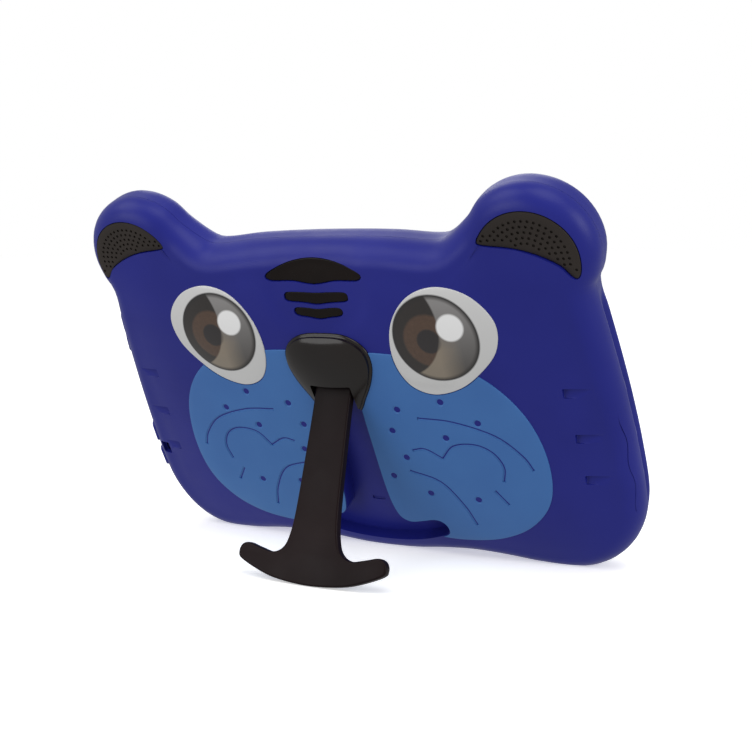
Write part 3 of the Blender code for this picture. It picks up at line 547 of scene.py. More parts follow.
# millimetres; a place is from the middle of the iris
eyePrint = {"iris": 15.0, "disc": 9.0, "pupil": 4.2, "pupilAt": (-1.8, -0.3),
            "glint": 4.5, "glintAt": (6.0, 4.4), "shineCentre": (-15.5, 3.5), "shineRadius": 17.6}


def makeEyePrint(name, centre):
    # a printed picture under clear lacquer: white, iris, pupil and painted shine
    material, tree, coords = newMaterial(name, IOR=1.5, Coat_Weight=0.3, Coat_Roughness=0.07)
    back = tabletPlace.inverted()
    flat = addNode(tree, "Mapping", {"Vector": coords, "Location": back.translation,
                                     "Rotation": back.to_euler()})
    # seen from behind, so x is turned round
    eye = addNode(tree, "Mapping", {"Vector": flat, "Scale": (-1000, 1000, 0),
                                    "Location": (-centre[0], -centre[1], 0)})

    def disc(middle, radius, soft=0.25):
        away = addNode(tree, "VectorMath", {0: eye, 1: (*middle, 0)}, "Value", operation="DISTANCE")
        return addNode(tree, "MapRange", {0: away, 1: radius - soft, 2: radius + soft, 3: 1.0, 4: 0.0})

    iris = disc((0, 0), eyePrint["iris"])
    inner = disc((0, 0), eyePrint["iris"] - 1.0, 0.7)
    brown = disc(eyePrint["pupilAt"], eyePrint["disc"], 0.5)
    pupil = disc(eyePrint["pupilAt"], eyePrint["pupil"], 0.35)
    glint = disc(eyePrint["glintAt"], eyePrint["glint"], 0.35)
    shineEdge = disc(eyePrint["shineCentre"], eyePrint["shineRadius"], 0.3)
    outside = addNode(tree, "MapRange", {0: shineEdge, 1: 0.0, 2: 1.0, 3: 1.0, 4: 0.0})
    fibres = addNode(tree, "TexNoise", {"Vector": eye, "Scale": 1 / 1.6, "Detail": 4.0, "Roughness": 0.7})
    tone = addNode(tree, "TexNoise", {"Vector": eye, "Scale": 1 / 30.0, "Detail": 1.0})
    up = addNode(tree, "SeparateXYZ", {0: eye}, "Y")
    right = addNode(tree, "SeparateXYZ", {0: eye}, "X")
    # the shine: grey above, cream at the lower left, dark at the foot, and thinner over the pupil
    rise = addNode(tree, "MapRange", {0: up, 1: -14.0, 2: 12.0, 3: 0.0, 4: 1.0})
    leftward = addNode(tree, "MapRange", {0: right, 1: 9.0, 2: 1.0, 3: 0.0, 4: 1.0})
    downward = addNode(tree, "MapRange", {0: up, 1: 3.0, 2: -3.0, 3: 0.0, 4: 1.0})
    thin = addNode(tree, "MapRange", {0: pupil, 1: 0.0, 2: 1.0, 3: 0.88, 4: 0.5})
    cream = addNode(tree, "Math", {0: leftward, 1: downward}, operation="MULTIPLY")
    veil = addNode(tree, "Math", {0: inner, 1: outside}, operation="MULTIPLY")
    veil = addNode(tree, "Math", {0: veil, 1: thin}, operation="MULTIPLY")
    white, dark, ring, shine = (
        addNode(tree, "Mix", {0: share, 6: first, 7: second}, 2, data_type="RGBA")
        for share, first, second in ((tone, "#c9c9c9", "#d2d2d1"), (fibres, "#130f0d", "#221a15"),
                                     (fibres, "#3a2518", "#57402f"), (rise, "#3f3b38", "#8c8a89")))
    shine = addNode(tree, "Mix", {0: cream, 6: shine, 7: "#8e8373"}, 2, data_type="RGBA")
    colour = "#0f0c0b"  # the iris's rim; the layers lie over it in this order
    for share, layer in ((inner, dark), (brown, ring), (pupil, "#1b1516"), (veil, shine)):
        colour = addNode(tree, "Mix", {0: share, 6: colour, 7: layer}, 2, data_type="RGBA")
    colour = addNode(tree, "Mix", {0: iris, 6: white, 7: colour}, 2, data_type="RGBA")
    colour = addNode(tree, "Mix", {0: glint, 6: colour, 7: "#ececec"}, 2, data_type="RGBA")
    rub = addNode(tree, "TexNoise", {"Vector": coords, "Scale": 1 / (12 * mm), "Detail": 4.0,
                                     "Roughness": 0.6})
    ripple = addNode(tree, "TexNoise", {"Vector": coords, "Scale": 1 / (5 * mm), "Detail": 1.0})
    return dress(material, colour, rub, (0.14, 0.24), ripple, 0.008 * mm)


def makeSteel():
    # cold-rolled steel, brushed along X: streaks 0.4 mm across and 8 mm long
    material, tree, coords = newMaterial("brushedSteel", Metallic=1.0)
    run = addNode(tree, "Mapping", {"Vector": coords, "Scale": (0.05, 1, 1)})
    streak = addNode(tree, "TexNoise", {"Vector": run, "Scale": 1 / (0.4 * mm), "Detail": 3.0})
    colour = addNode(tree, "Mix", {0: streak, 6: "#b4b6b9", 7: "#c9cbce"}, 2, data_type="RGBA")
    return dress(material, colour, streak, (0.24, 0.4), streak, 0.01 * mm)


def makeFoil():
    # aluminium-laminate pouch: bright, with soft creases 6 mm apart
    material, tree, coords = newMaterial("pouchFoil", Metallic=1.0)
    crease = addNode(tree, "TexNoise", {"Vector": coords, "Scale": 1 / (6 * mm), "Detail": 3.0})
    colour = addNode(tree, "Mix", {0: crease, 6: "#bfc1c4", 7: "#d0d2d4"}, 2, data_type="RGBA")
    return dress(material, colour, crease, (0.3, 0.45), crease, 0.15 * mm)


def makeBoard():
    # glass-epoxy board under green solder mask, with paler copper pads 1.5 mm apart
    material, tree, coords = newMaterial("greenSolderMask", IOR=1.5)
    pads = addNode(tree, "TexVoronoi", {"Vector": coords, "Scale": 1 / (1.5 * mm)}, "Distance",
                   feature="F1", distance="CHEBYCHEV")
    edge = addNode(tree, "MapRange", {0: pads, 1: 0.3, 2: 0.4, 3: 0.0, 4: 1.0})
    colour = addNode(tree, "Mix", {0: edge, 6: "#1c6b3a", 7: "#0f4a28"}, 2, data_type="RGBA")
    return dress(material, colour, pads, (0.3, 0.42), pads, 0.03 * mm, wearEnds=(0.0, 1.0))


def makeDiffuser():
    # the display's layers seen from the side: the milky edge of polyester film
    material, tree, coords = newMaterial("displayFilm", IOR=1.5)
    haze = addNode(tree, "TexNoise", {"Vector": coords, "Scale": 1 / (8 * mm), "Detail": 2.0})
    colour = addNode(tree, "Mix", {0: haze, 6: "#4a5a66", 7: "#5a6c78"}, 2, data_type="RGBA")
    return dress(material, colour, haze, (0.2, 0.3))


borderGlass, display, steel = makeBorderGlass(), makeDisplay(), makeSteel()
foil, board, film = makeFoil(), makeBoard(), makeDiffuser()
print("materials done")

for look, names in ((steel, """chassis_plate hinge_pin pin_block_left pin_block_right shield_can usb_port
                               friction_washer_left friction_washer_right board_screw_1 board_screw_2
                               board_screw_3 board_screw_4"""),
                    (foil, "battery backlight_unit"), (board, "main_board"), (film, "lcd_panel"),
                    (partBlack, """memory_chip camera_module speaker_left speaker_right switch_back
                                   switch_power switch_volume_up switch_volume_down""")):
    for name in names.split():
        nodes[name].data.materials.clear()
        nodes[name].data.materials.append(look)

shell = {"whisker": (9.5 * mm, 3.2 * mm, 2.4 * mm), "whiskerEdge": 0.4 * mm, "whiskerTilt": radians(24),
         "whiskerInset": 11.5 * mm, "whiskerDrop": 0.4 * mm, "whiskerSink": 0.7 * mm,
         "catchSlot": (5.2 * mm, 1.6 * mm, 3.1 * mm), "catchPlace": (0, -38 * mm, -15.5 * mm),
         "seamPitch": 17 * mm, "recessWall": 1.6 * mm, "roundSteps": 9, "backRows": 15,
         "whiskerY": (15 * mm, -2.5 * mm, -19 * mm), "portY": -23.5 * mm,
         "seamAngle": {1: 52, -1: 42}, "seamWave": 4,  # degrees round the edge, by side
         "seamLow": -34 * mm, "seamHigh": 42 * mm, "seamSteps": 60,
         "seamRadius": 0.2 * mm, "micY": 17.4 * mm, "micRadius": 0.45 * mm, "micDepth": 6 * mm,
         "portNotch": (4.5 * mm, 5.2 * mm, 6.4 * mm), "portInset": 6.8 * mm, "innerRing": (24 * mm, 15 * mm)}
stripes = {
    "stripeTop": ("stripe_top", [(0, 61.5), (7, 60.8), (13.5, 58.8), (18, 56.3), (16, 54.4), (8, 54.3),
                                 (0, 53.2)]),
    "stripeMiddle": ("stripe_middle", [(0, 50.2), (6, 50.4), (11, 50.3), (12, 48.9), (11, 47.5), (5, 47),
                                       (0, 46.4)]),
    "stripeLow": ("stripe_low", [(0, 44.6), (4.5, 45), (8.2, 45), (9.2, 43.7), (8, 42.4), (4, 41.8),
                                 (0, 41.2)]),
}
keys = {  # height of the middle, length
    "volumeRocker": ("volume_rocker", 29 * mm, 17 * mm),
    "powerKey": ("power_key", -17.5 * mm, 9 * mm),
    "backKey": ("back_key", -29.5 * mm, 9 * mm),
}
keyShape = {"width": 4.4 * mm, "proud": 0.7 * mm, "sideGap": 0.3 * mm, "corner": 1.6 * mm,
            "flangeTop": -3.4 * mm, "flangeThickness": 0.7 * mm, "flange": (1.1 * mm, 0.8 * mm),
            "hollowRadius": 12 * mm, "hollowDepth": 0.25 * mm}


def stripeLoop(name, grow=0.0):
    points = [(x * mm, y * mm) for x, y in stripes[name][1]]
    return offsetLoop(smoothLoop(mirrorHalf(points), 4), grow)


def shellSolid(name, inset, front):
    loop = offsetLoop(caseLoop, -inset)
    roundOff = case["rearRound"] - inset
    shoulder = offsetLoop(loop, -roundOff)
    start = case["rimDepth"] - case["rearRound"]
    rings = [level(loop, front)]
    for k in range(shell["roundSteps"] + 1):
        a = pi / 2 * k / shell["roundSteps"]
        ring = offsetLoop(loop, -roundOff * (1 - cos(a)))
        rings.append([(p.x, p.y, -start - (backDepth(q.x, q.y) - inset - start) * sin(a))
                      for p, q in zip(ring, shoulder)])
    heart = [p.normalized() for p in shoulder]
    heart = [Vector((p.x * shell["innerRing"][0], p.y * shell["innerRing"][1])) for p in heart]
    for k in range(1, shell["backRows"] + 1):
        share = k / shell["backRows"]
        ring = [p.lerp(q, share) for p, q in zip(shoulder, heart)]
        rings.append([(p.x, p.y, inset - backDepth(p.x, p.y)) for p in ring])
    rings.append([(p.x / 2, p.y / 2, inset - backDepth(p.x / 2, p.y / 2)) for p in heart])
    rings.append([(0, 0, inset - backDepth(0, 0))] * len(loop))
    return wrapGrid(name, rings)


def pivotPocket(grow):
    blockEnd = leg["topHalf"] + leg["blockGap"] + leg["block"]
    top = leg["barrel"] + 1.7 * mm - leg["pivotDepth"]
    loop = boxLoop(blockEnd + 0.5 * mm + grow, 7.6 * mm + grow, (0, leg["pivotY"]), 1.5 * mm + grow)
    return plate("pivotPocket", loop, -backDepth(0, 0) - 6 * mm, top + grow)


def bothSides(loop, side):
    return loop if side > 0 else otherSide(loop)


def makeRearShell():
    front = -case["parting"] - case["gap"]
    body = shellSolid("rearShell", 0.0, front)
    cavity = shellSolid("cavity", case["wall"], front + 2 * mm)
    wall = shell["recessWall"]
    carve(cavity, legTool(leg["room"] + wall, leg["room"] + wall, leg["swing"]))
    carve(cavity, pivotPocket(wall))
    carve(body, cavity)
    carve(body, legTool(leg["room"], leg["room"], leg["swing"]))
    carve(body, pivotPocket(0.0))
    carve(body, softBox("catchSlot", shell["catchSlot"], shell["catchPlace"], 0.3 * mm))
    rim = case["rimDepth"]
    for side in (1, -1):
        carve(body, plate("grilleSeat", bothSides(grilleLoop(case["gap"]), side), -rim - 5 * mm,
                          grille["sink"] + grille["thickness"] + case["gap"] - rim))
        for y in shell["whiskerY"]:
            x = wallX(y) - shell["whiskerInset"]
            place = (side * x, y - shell["whiskerDrop"], -backDepth(x, y) - shell["whiskerSink"])
            carve(body, softBox("whisker", shell["whisker"], place, shell["whiskerEdge"],
                                shell["whiskerTilt"]))
        path = []
        for k in range(shell["seamSteps"] + 1):
            y = shell["seamLow"] + (shell["seamHigh"] - shell["seamLow"]) * k / shell["seamSteps"]
            wave = shell["seamWave"] * sin(2 * pi * (y - shell["whiskerY"][0]) / shell["seamPitch"])
            turn = radians(shell["seamAngle"][side] + wave)
            x = wallX(y) - case["rearRound"] * (1 - cos(turn))
            path.append(Vector((side * x, y, case["rearRound"] * (1 - sin(turn)) - case["rimDepth"])))
        carve(body, tube("seam", path, shell["seamRadius"], 6))
    for name in stripes:
        carve(body, backPad("stripeSeat", stripeLoop(name, 0.25 * mm), -1.3 * mm, 4 * mm, rows=2))
    for node, y, length in keys.values():
        hole = boxLoop(length / 2 + keyShape["sideGap"], keyShape["width"] / 2 + keyShape["sideGap"],
                       radius=keyShape["corner"] + keyShape["sideGap"])
        carve(body, move(plate("keyHole", hole, -8 * mm, 8 * mm), sideFrame(y)))
    mic = rod("micHole", shell["micRadius"], shell["micDepth"], (0, 0, 0), sides=16)
    carve(body, move(mic, sideFrame(shell["micY"])))
    x = wallX(shell["portY"])
    carve(body, softBox("portNotch", shell["portNotch"],
                        (x - shell["portInset"], shell["portY"] + 1 * mm, -rim - 0.2 * mm), 0.7 * mm))
    carve(body, belowGround())
    return finish(body, "rearShell", caseBlue, replaced=["rear_shell"], angle=32)


makeRearShell()
print("rear shell done")

front = {
    # (outwards from the case's outline, height) from the lip to the parting line, in millimetres
    "groove": [(-2.9, 1.0), (-2.15, 0.92), (-1.45, 0.62), (-1.0, 0.15), (-0.85, -0.4), (-0.95, -1.0),
               (-1.3, -1.6), (-1.8, -2.3), (-2.15, -3.1), (-2.2, -3.9), (-2.0, -4.7), (-1.5, -5.3),
               (-0.9, -5.8), (-0.4, -6.3), (-0.15, -6.7), (-0.1, -7.2)],
    "round": [(-3.1, 1.0), (-2.6, 0.95), (-2.1, 0.82), (-1.6, 0.6), (-1.15, 0.25), (-0.75, -0.25),
              (-0.45, -0.85), (-0.25, -1.5), (-0.12, -2.2), (-0.05, -2.9), (0, -3.6), (0, -4.3),
              (0, -5.0), (0, -5.8), (0, -6.6), (0, -7.2)],
    "grooveX": (78, 86), "grooveLow": (-46, -30), "grooveHigh": (36, 47),
    "teethY": (15 * mm, -2.5 * mm, -19 * mm), "toothLength": 12 * mm, "toothReach": 2.2 * mm,
}


def between(value, ends):
    return softStep((value / mm - ends[0]) / (ends[1] - ends[0]))


def grooveAt(point):
    # the grip groove runs down the straight sides and fades out below the ears and at the corners
    high = 1 - between(point.y, front["grooveHigh"])
    return between(abs(point.x), front["grooveX"]) * between(point.y, front["grooveLow"]) * high


def toothAt(point):
    # a saw-shaped wave that pushes the band forwards into the groove on both sides
    for y in front["teethY"]:
        along = (point.y - (y - front["toothLength"] * 0.75)) / front["toothLength"]
        if abs(point.x) > 80 * mm and 0 < along < 1:
            return softStep(along / 0.3) if along < 0.3 else 1 - softStep((along - 0.3) / 0.7)
    return 0.0


def makeFrontFrame():
    def caseRing(grow, z):
        return level(offsetLoop(caseLoop, grow * mm), z * mm)

    def profileRing(k):
        (inA, zA), (inB, zB) = front["round"][k], front["groove"][k]
        tooth = softStep(1 - abs(zB + 5.2) / 1.6) * front["toothReach"]
        ring = []
        for a, b, q in zip(offsetLoop(caseLoop, inA * mm), offsetLoop(caseLoop, inB * mm), caseLoop):
            share = grooveAt(q)
            p = a.lerp(b, share)
            ring.append((p.x, p.y, (zA + (zB - zA) * share) * mm + tooth * toothAt(q) * share))
        return ring

    def innerRing(shape, z):
        return level(atBearings(shape, caseLoop), z * mm)

    window = boxLoop(screen["halfWidth"] + 3 * mm, screen["halfHeight"] + 3 * mm, radius=1 * mm)
    rings = [innerRing(window, -2.4), innerRing(window, -1.4), innerRing(glassLoop(0.3 * mm), -1.4),
             innerRing(glassLoop(0.3 * mm), 0.25), innerRing(glassLoop(0.45 * mm), 0.6),
             innerRing(glassLoop(0.8 * mm), 0.88), innerRing(glassLoop(1.2 * mm), 1.0)]
    rings += [profileRing(k) for k in range(len(front["round"]))]
    # the skirt inside stays clear of the keys' flanges when they move
    rings += [caseRing(-1.7, -7.2), caseRing(-2.1, -6.0), caseRing(-4.2, -4.6), caseRing(-4.2, -2.4)]
    rings.append(rings[0])
    body = wrapGrid("frontFrame", rings)
    for side in (1, -1):
        floorZ = case["lipHeight"] - grille["sink"] - grille["thickness"] - case["gap"]
        carve(body, plate("grilleSeat", bothSides(grilleLoop(case["gap"]), side), floorZ, 5 * mm))
    carve(body, belowGround())
    return finish(body, "frontFrame", caseBlue, replaced=["front_frame"], angle=40)


makeFrontFrame()
print("front frame done")


def makeGrille(name, node, side, low, holesUp):
    loop = bothSides(grilleLoop(), side)
    cover = plate(name, loop, low, low + grille["thickness"], 0.2 * mm, 2)
    spots = []
    radius = grille["radius"] - grille["border"]
    inner = grilleLoop(-grille["border"])
    row = 0
    while radius > 2 * mm:
        step = grille["pitch"] / radius
        angle = -pi / 2 + (row % 2) * step / 2
        while angle < pi * 1.2:
            spot = (grille["centre"][0] + radius * cos(angle), grille["centre"][1] + radius * sin(angle))
            if insideLoop(spot, inner):
                spots.append(spot)
            angle += step
        radius -= grille["pitch"] * 0.92
        row += 1
    z = low + grille["thickness"] if holesUp else low
    drill = rod("drill", grille["hole"], 2 * grille["holeDepth"], (0, 0, 0), sides=10)
    bits = []
    for x, y in spots:
        bit = drill.copy()
        bit.data = drill.data.copy()
        bpy.context.collection.objects.link(bit)
        bit.data.transform(Matrix.Translation((side * x, y, z)))
        bits.append(bit)
    bpy.data.objects.remove(drill)
    carve(cover, joinAll(bits))
    return finish(cover, name, grillePlastic, replaced=[node], angle=30)


for side, word in ((1, "Left"), (-1, "Right")):
    low = case["lipHeight"] - grille["sink"] - grille["thickness"]
    rearLow = grille["sink"] - case["rimDepth"]
    makeGrille("grilleFront" + word, "grille_front_" + word.lower(), side, low, True)
    makeGrille("grilleRear" + word, "grille_rear_" + word.lower(), side, rearLow, False)
print("grilles done")

face = {"inlayDepth": 1.0 * mm, "proud": 0.35 * mm, "eyeDome": 1.6 * mm,
        "noseEdge": 0.9 * mm, "noseBulge": 3.4 * mm,
        "lineRadius": 0.8 * mm, "lineLift": 0.36 * mm, "dimpleRadius": 2.4 * mm, "dimpleLift": 1.75 * mm}
cheekLines = [
    [(28.5, 4.6), (41.3, 3.6), (55, -1.3), (63, -9), (66, -15)],
    [(23.6, -9), (28.5, -8.2), (34.4, -11.6)],
    [(34.4, -11.6), (39.3, -6.2), (47.2, -5.2), (53.1, -8.2), (56, -14), (55, -20)],
    [(20.6, -18), (31.5, -22), (38.3, -31.8), (41.3, -40.6)],
    [(51, -24), (55, -30)],
]
cheekDimples = [(21.6, 7.6), (38.3, 11.5), (17.7, -1.3), (37.4, -3.0), (50, 3.6), (20.6, -12.4), (13.6, -21),
                (26.5, -27.6), (44.2, -28.8)]


def makeCheek(name, node, side):
    outline = bothSides(cheekLoop(-case["gap"]), side)
    cheek = backPad(name, outline, -face["inlayDepth"], face["proud"], rows=16)
    carve(cheek, backPad("eyeSpace", bothSides(eyeLoop(0.25 * mm), side), -4 * mm, 4 * mm, rows=2))
    carve(cheek, backPad("noseSpace", noseLoop(0.1 * mm), -4 * mm, 4 * mm, rows=2))
    carve(cheek, legTool(leg["room"] + case["gap"], 4 * mm, leg["swing"]))
    for line in cheekLines:
        path = smoothPath([Vector((side * x * mm, y * mm)) for x, y in line], 6)
        path = [Vector((p.x, p.y, -backDepth(p.x, p.y) - face["proud"] - face["lineLift"])) for p in path]
        carve(cheek, tube("line", path, face["lineRadius"]))
    for x, y in cheekDimples:
        x, y = side * x * mm, y * mm
        selectNone()
        depth = backDepth(x, y) + face["proud"] + face["dimpleLift"]
        bpy.ops.mesh.primitive_uv_sphere_add(segments=20, ring_count=12, radius=face["dimpleRadius"],
                                             location=(x, y, -depth))
        carve(cheek, move(bpy.context.object, Matrix.Identity(4)))
    return finish(cheek, name, cheekBlue, replaced=[node], angle=32)


def makeNose():
    nose = backPad("noseCap", noseLoop(), -0.4 * mm, face["noseEdge"], edge=0.8 * mm,
                   dome=face["noseBulge"], power=0.62, rows=18)
    slot = leg["topHalf"] + leg["room"]
    carve(nose, softBox("legSlot", (2 * slot, 38 * mm, 40 * mm), (0, leg["pivotY"] - 19 * mm, -30 * mm),
                        0.6 * mm))
    carve(nose, rod("barrelSpace", leg["barrel"] + 1.1 * mm, 2 * slot, pivot, "X"))
    return finish(nose, "noseCap", noseGloss, replaced=["nose_cap"], angle=42)


for side, word in ((1, "Left"), (-1, "Right")):
    makeCheek("cheek" + word, "cheek_" + word.lower(), side)
    eye = backPad("eye" + word, bothSides(eyeLoop(), side), -face["inlayDepth"], face["proud"],
                  dome=face["eyeDome"], rows=16)
    eyeLook = makeEyePrint("printedEye" + word, (-side * 41.7, 35.7))
    finish(eye, "eye" + word, eyeLook, replaced=["eye_" + word.lower()])
makeNose()
for name, (node, points) in stripes.items():
    stripe = backPad(name, stripeLoop(name), -1.25 * mm, -0.35 * mm, rows=6)
    finish(stripe, name, stripeGloss, replaced=[node])
print("face done")


def makeStand():
    half = leg["thickness"] / 2
    body = plate("standLeg", legLoop(), -half, half, leg["edge"], 4)
    carve(body, rod("barrel", leg["barrel"], 2 * leg["topHalf"], (0, 0, 0), "X", 40), "UNION")
    carve(body, rod("pinHole", leg["pinRadius"] + leg["pinRoom"], 3 * leg["topHalf"], (0, 0, 0), "X", 24))
    move(body, Matrix.Translation(pivot) @ Matrix.Rotation(openAngle(), 4, "X"))
    carve(body, belowGround())
    return finish(body, "standLeg", standNylon, body="stand", replaced=["stand_leg"],
                  angle=35)


makeStand()
print("stand done")

for name, (node, y, length) in keys.items():
    k = keyShape
    key = plate(name, boxLoop(length / 2, k["width"] / 2, radius=k["corner"], corner=8),
                k["flangeTop"] - 0.3 * mm, k["proud"], 0.45 * mm, 4)
    flange = boxLoop(length / 2 + k["flange"][0], k["width"] / 2 + k["flange"][1], radius=0.5 * mm)
    carve(key, plate("flange", flange, k["flangeTop"] - k["flangeThickness"], k["flangeTop"]), "UNION")
    if name == "volumeRocker":  # a thumb hollow across the middle of the rocker
        lift = k["proud"] + k["hollowRadius"] - k["hollowDepth"]
        over = Matrix.Translation((0, 0, lift)) @ Matrix.Rotation(pi / 2, 4, "X")
        carve(key, move(rod("hollow", k["hollowRadius"], 12 * mm, (0, 0, 0), sides=96), over))
    finish(key, name, keyBlue, body=node, replaced=[node],
           place=tabletPlace @ sideFrame(y), angle=32)
print("keys done")


def makeGlass():
    shape = evenLoop(glassLoop(), 240)
    pane = plate("coverGlass", shape, -glass["thickness"], 0, 0.2 * mm, 3)
    return finish(pane, "coverGlass", borderGlass, replaced=["touch_glass"])


picture = {"layer": 0.012 * mm, "sky": "#58c8ee", "teal": "#347d93", "nav": "#3d8aa5", "panel": "#b0e4f2",
           "white": "#f7fbfb", "ink": "#6c8894", "wood": "#f2c79c"}
shapes = []


def flat(points, colour, layer):
    # one printed shape: a filled outline, given a little thickness
    selectNone()
    bpy.ops.mesh.primitive_circle_add(vertices=len(points), radius=1, fill_type="NGON")
    piece = bpy.context.object
    top = picture["layer"] * (layer + 1)
    for vertex, point in zip(piece.data.vertices, points):
        vertex.co = (point[0] * mm, point[1] * mm, top)
    bpy.ops.object.mode_set(mode="EDIT")
    bpy.ops.mesh.select_all(action="SELECT")
    bpy.ops.mesh.extrude_region_move(TRANSFORM_OT_translate={"value": (0, 0, -top - 0.02 * mm)})
    bpy.ops.mesh.select_all(action="SELECT")
    bpy.ops.mesh.normals_make_consistent(inside=False)
    bpy.ops.object.mode_set(mode="OBJECT")
    ink = piece.data.color_attributes.new("picture", "FLOAT_COLOR", "CORNER")
    ink.data.foreach_set("color", linear(picture.get(colour, colour)) * len(ink.data))
    shapes.append(piece)


def block(x0, y0, x1, y1, colour, layer, radius=0.0):
    if radius:
        loop = boxLoop((x1 - x0) / 2, (y1 - y0) / 2, ((x0 + x1) / 2, (y0 + y1) / 2), radius, 5)
        return flat(loop, colour, layer)
    return flat([(x0, y1), (x1, y1), (x1, y0), (x0, y0)], colour, layer)


def dot(x, y, radius, colour, layer, sides=20):
    flat(circleLoop(radius, (x, y), sides), colour, layer)


def star(x, y, radius, colour, layer, points=4, waist=0.35):
    flat([(x + (radius if k % 2 == 0 else radius * waist) * sin(pi * k / points),
           y + (radius if k % 2 == 0 else radius * waist) * cos(pi * k / points)) for k in range(2 * points)],
         colour, layer)


def drawPicture():
    w, h = screen["halfWidth"] / mm, screen["halfHeight"] / mm
    block(-w, -h, w, h, "sky", 0)
    block(-w, 40, w, h, "teal", 1)
    block(-w, -h, w, -36, "nav", 1)
    block(30, -41.8, 42.5, -37.2, "#5aa5bd", 2, 1.8)
    flat([(-38.6, -39.5), (-35.8, -37.8), (-35.8, -41.2)], "#a9d3df", 2)
    dot(-13, -39.5, 1.7, "#a9d3df", 2)
    dot(-13, -39.5, 1.2, "nav", 3)
    block(10.4, -41.1, 13.6, -37.9, "#a9d3df", 2)
    block(10.9, -40.6, 13.1, -38.4, "nav", 3)
    block(34.3, -40.9, 38.3, -38.1, "#d7ecf2", 3, 0.5)
    for x in (66, 69, 72, -73, -70):
        block(x, 40.8, x + 1.6, 42.2, "#a9d3df", 2)
    # clouds and the small folder
    for x, y, r in ((-28, 34.6, 2.0), (-25, 35.8, 2.7), (-22, 34.8, 2.2)):
        dot(x, y, r, "white", 1)
    block(-29, 32.6, -21, 34.4, "white", 2, 0.9)
    block(-58.5, 23.5, -49, 28.8, "#ecc98a", 1, 0.8)
    block(-57.5, 22.5, -48.5, 27.2, "#f7e0ac", 2, 0.8)
    # pencils
    for i, (colour, tall, shade) in enumerate((
            ("#2862c8", 29.6, "#1c4a9c"), ("#36a8e6", 26.4, "#1c4a9c"), ("#55b82e", 30, "#3f9420"),
            ("#f4d916", 27.2, "#cfae0c"), ("#e01818", 31, "#a01010"))):
        x = 28.5 + 8.2 * i
        block(x, 17, x + 6.6, tall - 4.5, colour, 1)
        flat([(x, tall - 4.5), (x + 3.3, tall + 1), (x + 6.6, tall - 4.5)], "wood", 1)
        flat([(x + 2.2, tall - 0.9), (x + 3.3, tall + 1), (x + 4.4, tall - 0.9)], colour, 2)
        block(x + 4.6, 17, x + 6.6, tall - 4.5, shade, 2)
    # round buttons
    dot(-70, 36.4, 6.3, "#f9b71c", 3, 32)
    flat([(-74, 36.2), (-70, 40), (-66, 36.2)], "white", 4)
    block(-72.8, 32.8, -67.2, 36.4, "white", 4)
    block(-70.9, 32.8, -69.1, 35.2, "#f9b71c", 5)
    dot(70, 36.4, 6.3, "#f07a1a", 3, 32)
    star(70, 36.4, 4.4, "white", 4, 8, 0.78)
    dot(70, 36.4, 1.7, "#f07a1a", 5)
    # the panel and its cards
    block(-71, -32.5, 71, 19, "panel", 3, 2.0)
    for x in (-71, 71):
        dot(x, -5.5, 4.5, "sky", 4, 28)
    for middle, colour in ((-46.2, "#f08a24"), (0, "#14b0fa"), (46.5, "#f8506e")):
        block(middle - 13.5, -20.8, middle + 13.5, 13.8, "white", 4, 2.2)
        block(middle - 12.7, -20, middle + 12.7, 13, colour, 5, 1.8)
        block(middle - 6.5, -27.6, middle + 6.5, -26.1, "ink", 4, 0.7)
    # a castle and a tree
    block(-58.6, -19.6, -34, -16.5, "#6fae2c", 6, 1.0)
    flat([(-42, -17), (-40.4, -2), (-37.8, -2), (-36.8, -17)], "#c98a4a", 7)
    for x, y, r, colour in ((-43, -2.5, 3.4, "#56ad2e"), (-36.4, -3, 2.6, "#4aa32e"),
                            (-38.6, 5.6, 3.0, "#6cba36")):
        dot(x, y, r, colour, 8)
    dot(-39.4, 1.5, 4.6, "#3f9a2c", 7)
    block(-57.5, -16.5, -46.5, -8.5, "#f2c21c", 7)
    for x, top, colour in ((-56, -4.5, "#e9a81a"), (-52, -2.6, "#f6d44a"), (-48, -4.5, "#e9a81a")):
        block(x - 1.5, -8.6, x + 1.5, top, colour, 7)
        flat([(x - 2.2, top), (x, top + 4.2), (x + 2.2, top)], "#d8321e", 8)
    block(-53.4, -16.5, -50.6, -12.5, "#a8401c", 8)
    # crayons under confetti
    for i, (colour, tall) in enumerate((("#f4d916", -12.6), ("#f07a1a", -10.8), ("#e01818", -4),
                                        ("#b8288c", -11.6), ("#7a3cc8", -9.8), ("#2850d8", -11.4),
                                        ("#2ec4b6", -9.6))):
        x = -11.7 + 3.4 * i
        block(x, -19.4, x + 2.9, tall - 2.4, colour, 6)
        flat([(x, tall - 2.4), (x + 1.45, tall), (x + 2.9, tall - 2.4)], colour, 6)
        block(x, tall - 4.2, x + 2.9, tall - 3.6, "white", 7)
    for x, y, turn, colour in ((-6, 4, 0.5, "#e8305a"), (-1, 7, 1.1, "#2850d8"), (4, 3, 0.9, "#8a3cc8"),
                               (7.5, 8, 0.4, "#e8491c"), (-3, -1, 1.3, "#d83a8c"), (2, -4, 0.8, "#3a6be0"),
                               (8, -2, 1.2, "#e8305a")):
        x1, y1, x2, y2 = 1.8 * cos(turn), 1.8 * sin(turn), -0.3 * sin(turn), 0.3 * cos(turn)
        flat([(x + x1 + x2, y + y1 + y2), (x + x1 - x2, y + y1 - y2), (x - x1 - x2, y - y1 - y2),
              (x - x1 + x2, y - y1 + y2)], colour, 7)
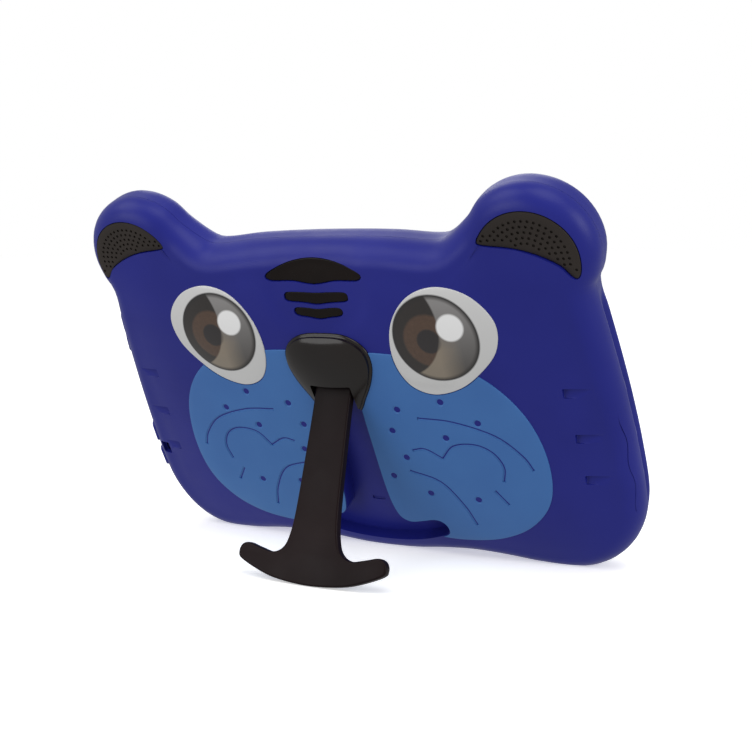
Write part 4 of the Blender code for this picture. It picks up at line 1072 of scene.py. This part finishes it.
    # a bound page with a drawing
    block(37.5, -19.2, 58.6, 0.8, "#f8faf6", 6, 0.6)
    for k in range(7):
        dot(35.7, -17.2 + 2.7 * k, 0.55, "#c4284c", 7, 12)
    block(37.5, -19.2, 58.6, -16.2, "#a6d84a", 7, 0.4)
    for x, y, r, colour in ((49.6, -3, 1.3, "#3f9ae0"), (53.2, -2.6, 1.3, "#3f9ae0"),
                            (51.8, -5.4, 1.0, "#e2442e"), (56, -3.4, 0.9, "#3f9ae0"),
                            (42.5, -11.4, 2.0, "#f0a0c8"), (45.8, -10, 1.6, "#7ac8e8"),
                            (44.2, -13.4, 1.2, "#8f6ad0")):
        dot(x, y, r, colour, 7)


def makePicture():
    drawPicture()
    return finish(joinAll(shapes), "screenPicture", display, angle=30)


makeGlass()
makePicture()
lens = {"y": 56 * mm, "ring": 1.75 * mm, "eye": 0.95 * mm}
for name, key, sides, low, high, look in (("cameraRing", "ring", 40, -0.05 * mm, 0.04 * mm, partBlack),
                                          ("cameraEye", "eye", 32, -0.03 * mm, 0.07 * mm, noseGloss)):
    finish(plate(name, circleLoop(lens[key], (0, lens["y"]), sides), low, high, 0.02 * mm, 2), name, look)
print("screen done")

stage = {"world": "#ffffff", "worldStrength": 0.56, "floorGlow": 0.46}


def makeFloor():
    selectNone()
    bpy.ops.mesh.primitive_plane_add(size=12, location=(0, 0, -0.1 * mm))
    floor = bpy.context.object
    floor.name = "floor"
    material, tree, coords = newMaterial("paleFloor", Roughness=0.9, Specular_IOR_Level=0.0,
                                         Emission_Strength=stage["floorGlow"],
                                         Emission_Color=linear("#ffffff"))
    tint = addNode(tree, "TexNoise", {"Vector": coords, "Scale": 1 / 0.5, "Detail": 2.0})
    colour = addNode(tree, "Mix", {0: tint, 6: "#fafafa", 7: "#ffffff"}, 2, data_type="RGBA")
    tree.links.new(colour, tree.nodes["Principled BSDF"].inputs["Base Color"])
    floor.data.materials.append(material)
    floor.visible_diffuse = floor.visible_glossy = False  # its glow would light the piece from below


def addLight(name, place, aim, size, watts):
    bpy.ops.object.light_add(type="AREA", location=place)
    light = bpy.context.object
    light.name = name
    light.data.size = size
    light.data.energy = watts
    light.rotation_euler = (Vector(aim) - Vector(place)).to_track_quat("-Z", "Y").to_euler()


makeFloor()
world = bpy.data.worlds.new("studio")
bpy.context.scene.world = world
world.use_nodes = True
seen = addNode(world.node_tree, "LightPath", output="Is Camera Ray")
strength = addNode(world.node_tree, "MapRange", {0: seen, 1: 0.0, 2: 1.0, 3: stage["worldStrength"], 4: 1.0})
background = world.node_tree.nodes["Background"]
background.inputs["Color"].default_value = linear(stage["world"])
world.node_tree.links.new(strength, background.inputs["Strength"])
middle = (cadBounds[0] + cadBounds[1]) / 2
addLight("keyLight", (-0.5, 0.5, 1.5), middle, 1.0, 7)
addLight("sideLight", (-1.4, 0.2, 0.5), middle, 0.7, 6)
addLight("fillLight", (0.7, 0.6, 1.1), middle, 0.8, 4)
addLight("backLight", (0.7, 1.3, 0.3), middle, 0.8, 4.5)
addLight("frontLight", (0.6, -1.4, 1.2), middle, 1.2, 7.5)
bpy.context.scene.view_settings.view_transform = "Standard"

camera = {"place": (-0.1956, 0.3525, 0.1151), "aim": (-0.0077, 0, 0.0662), "roll": -0.018, "lens": 55}
bpy.ops.object.camera_add(location=camera["place"])
view = bpy.context.object
view.data.lens = camera["lens"]
aim = (Vector(camera["aim"]) - view.location).to_track_quat("-Z", "Y")
view.rotation_euler = (aim @ Quaternion((0, 0, 1), camera["roll"])).to_euler()
bpy.context.scene.camera = view
print("stage done")
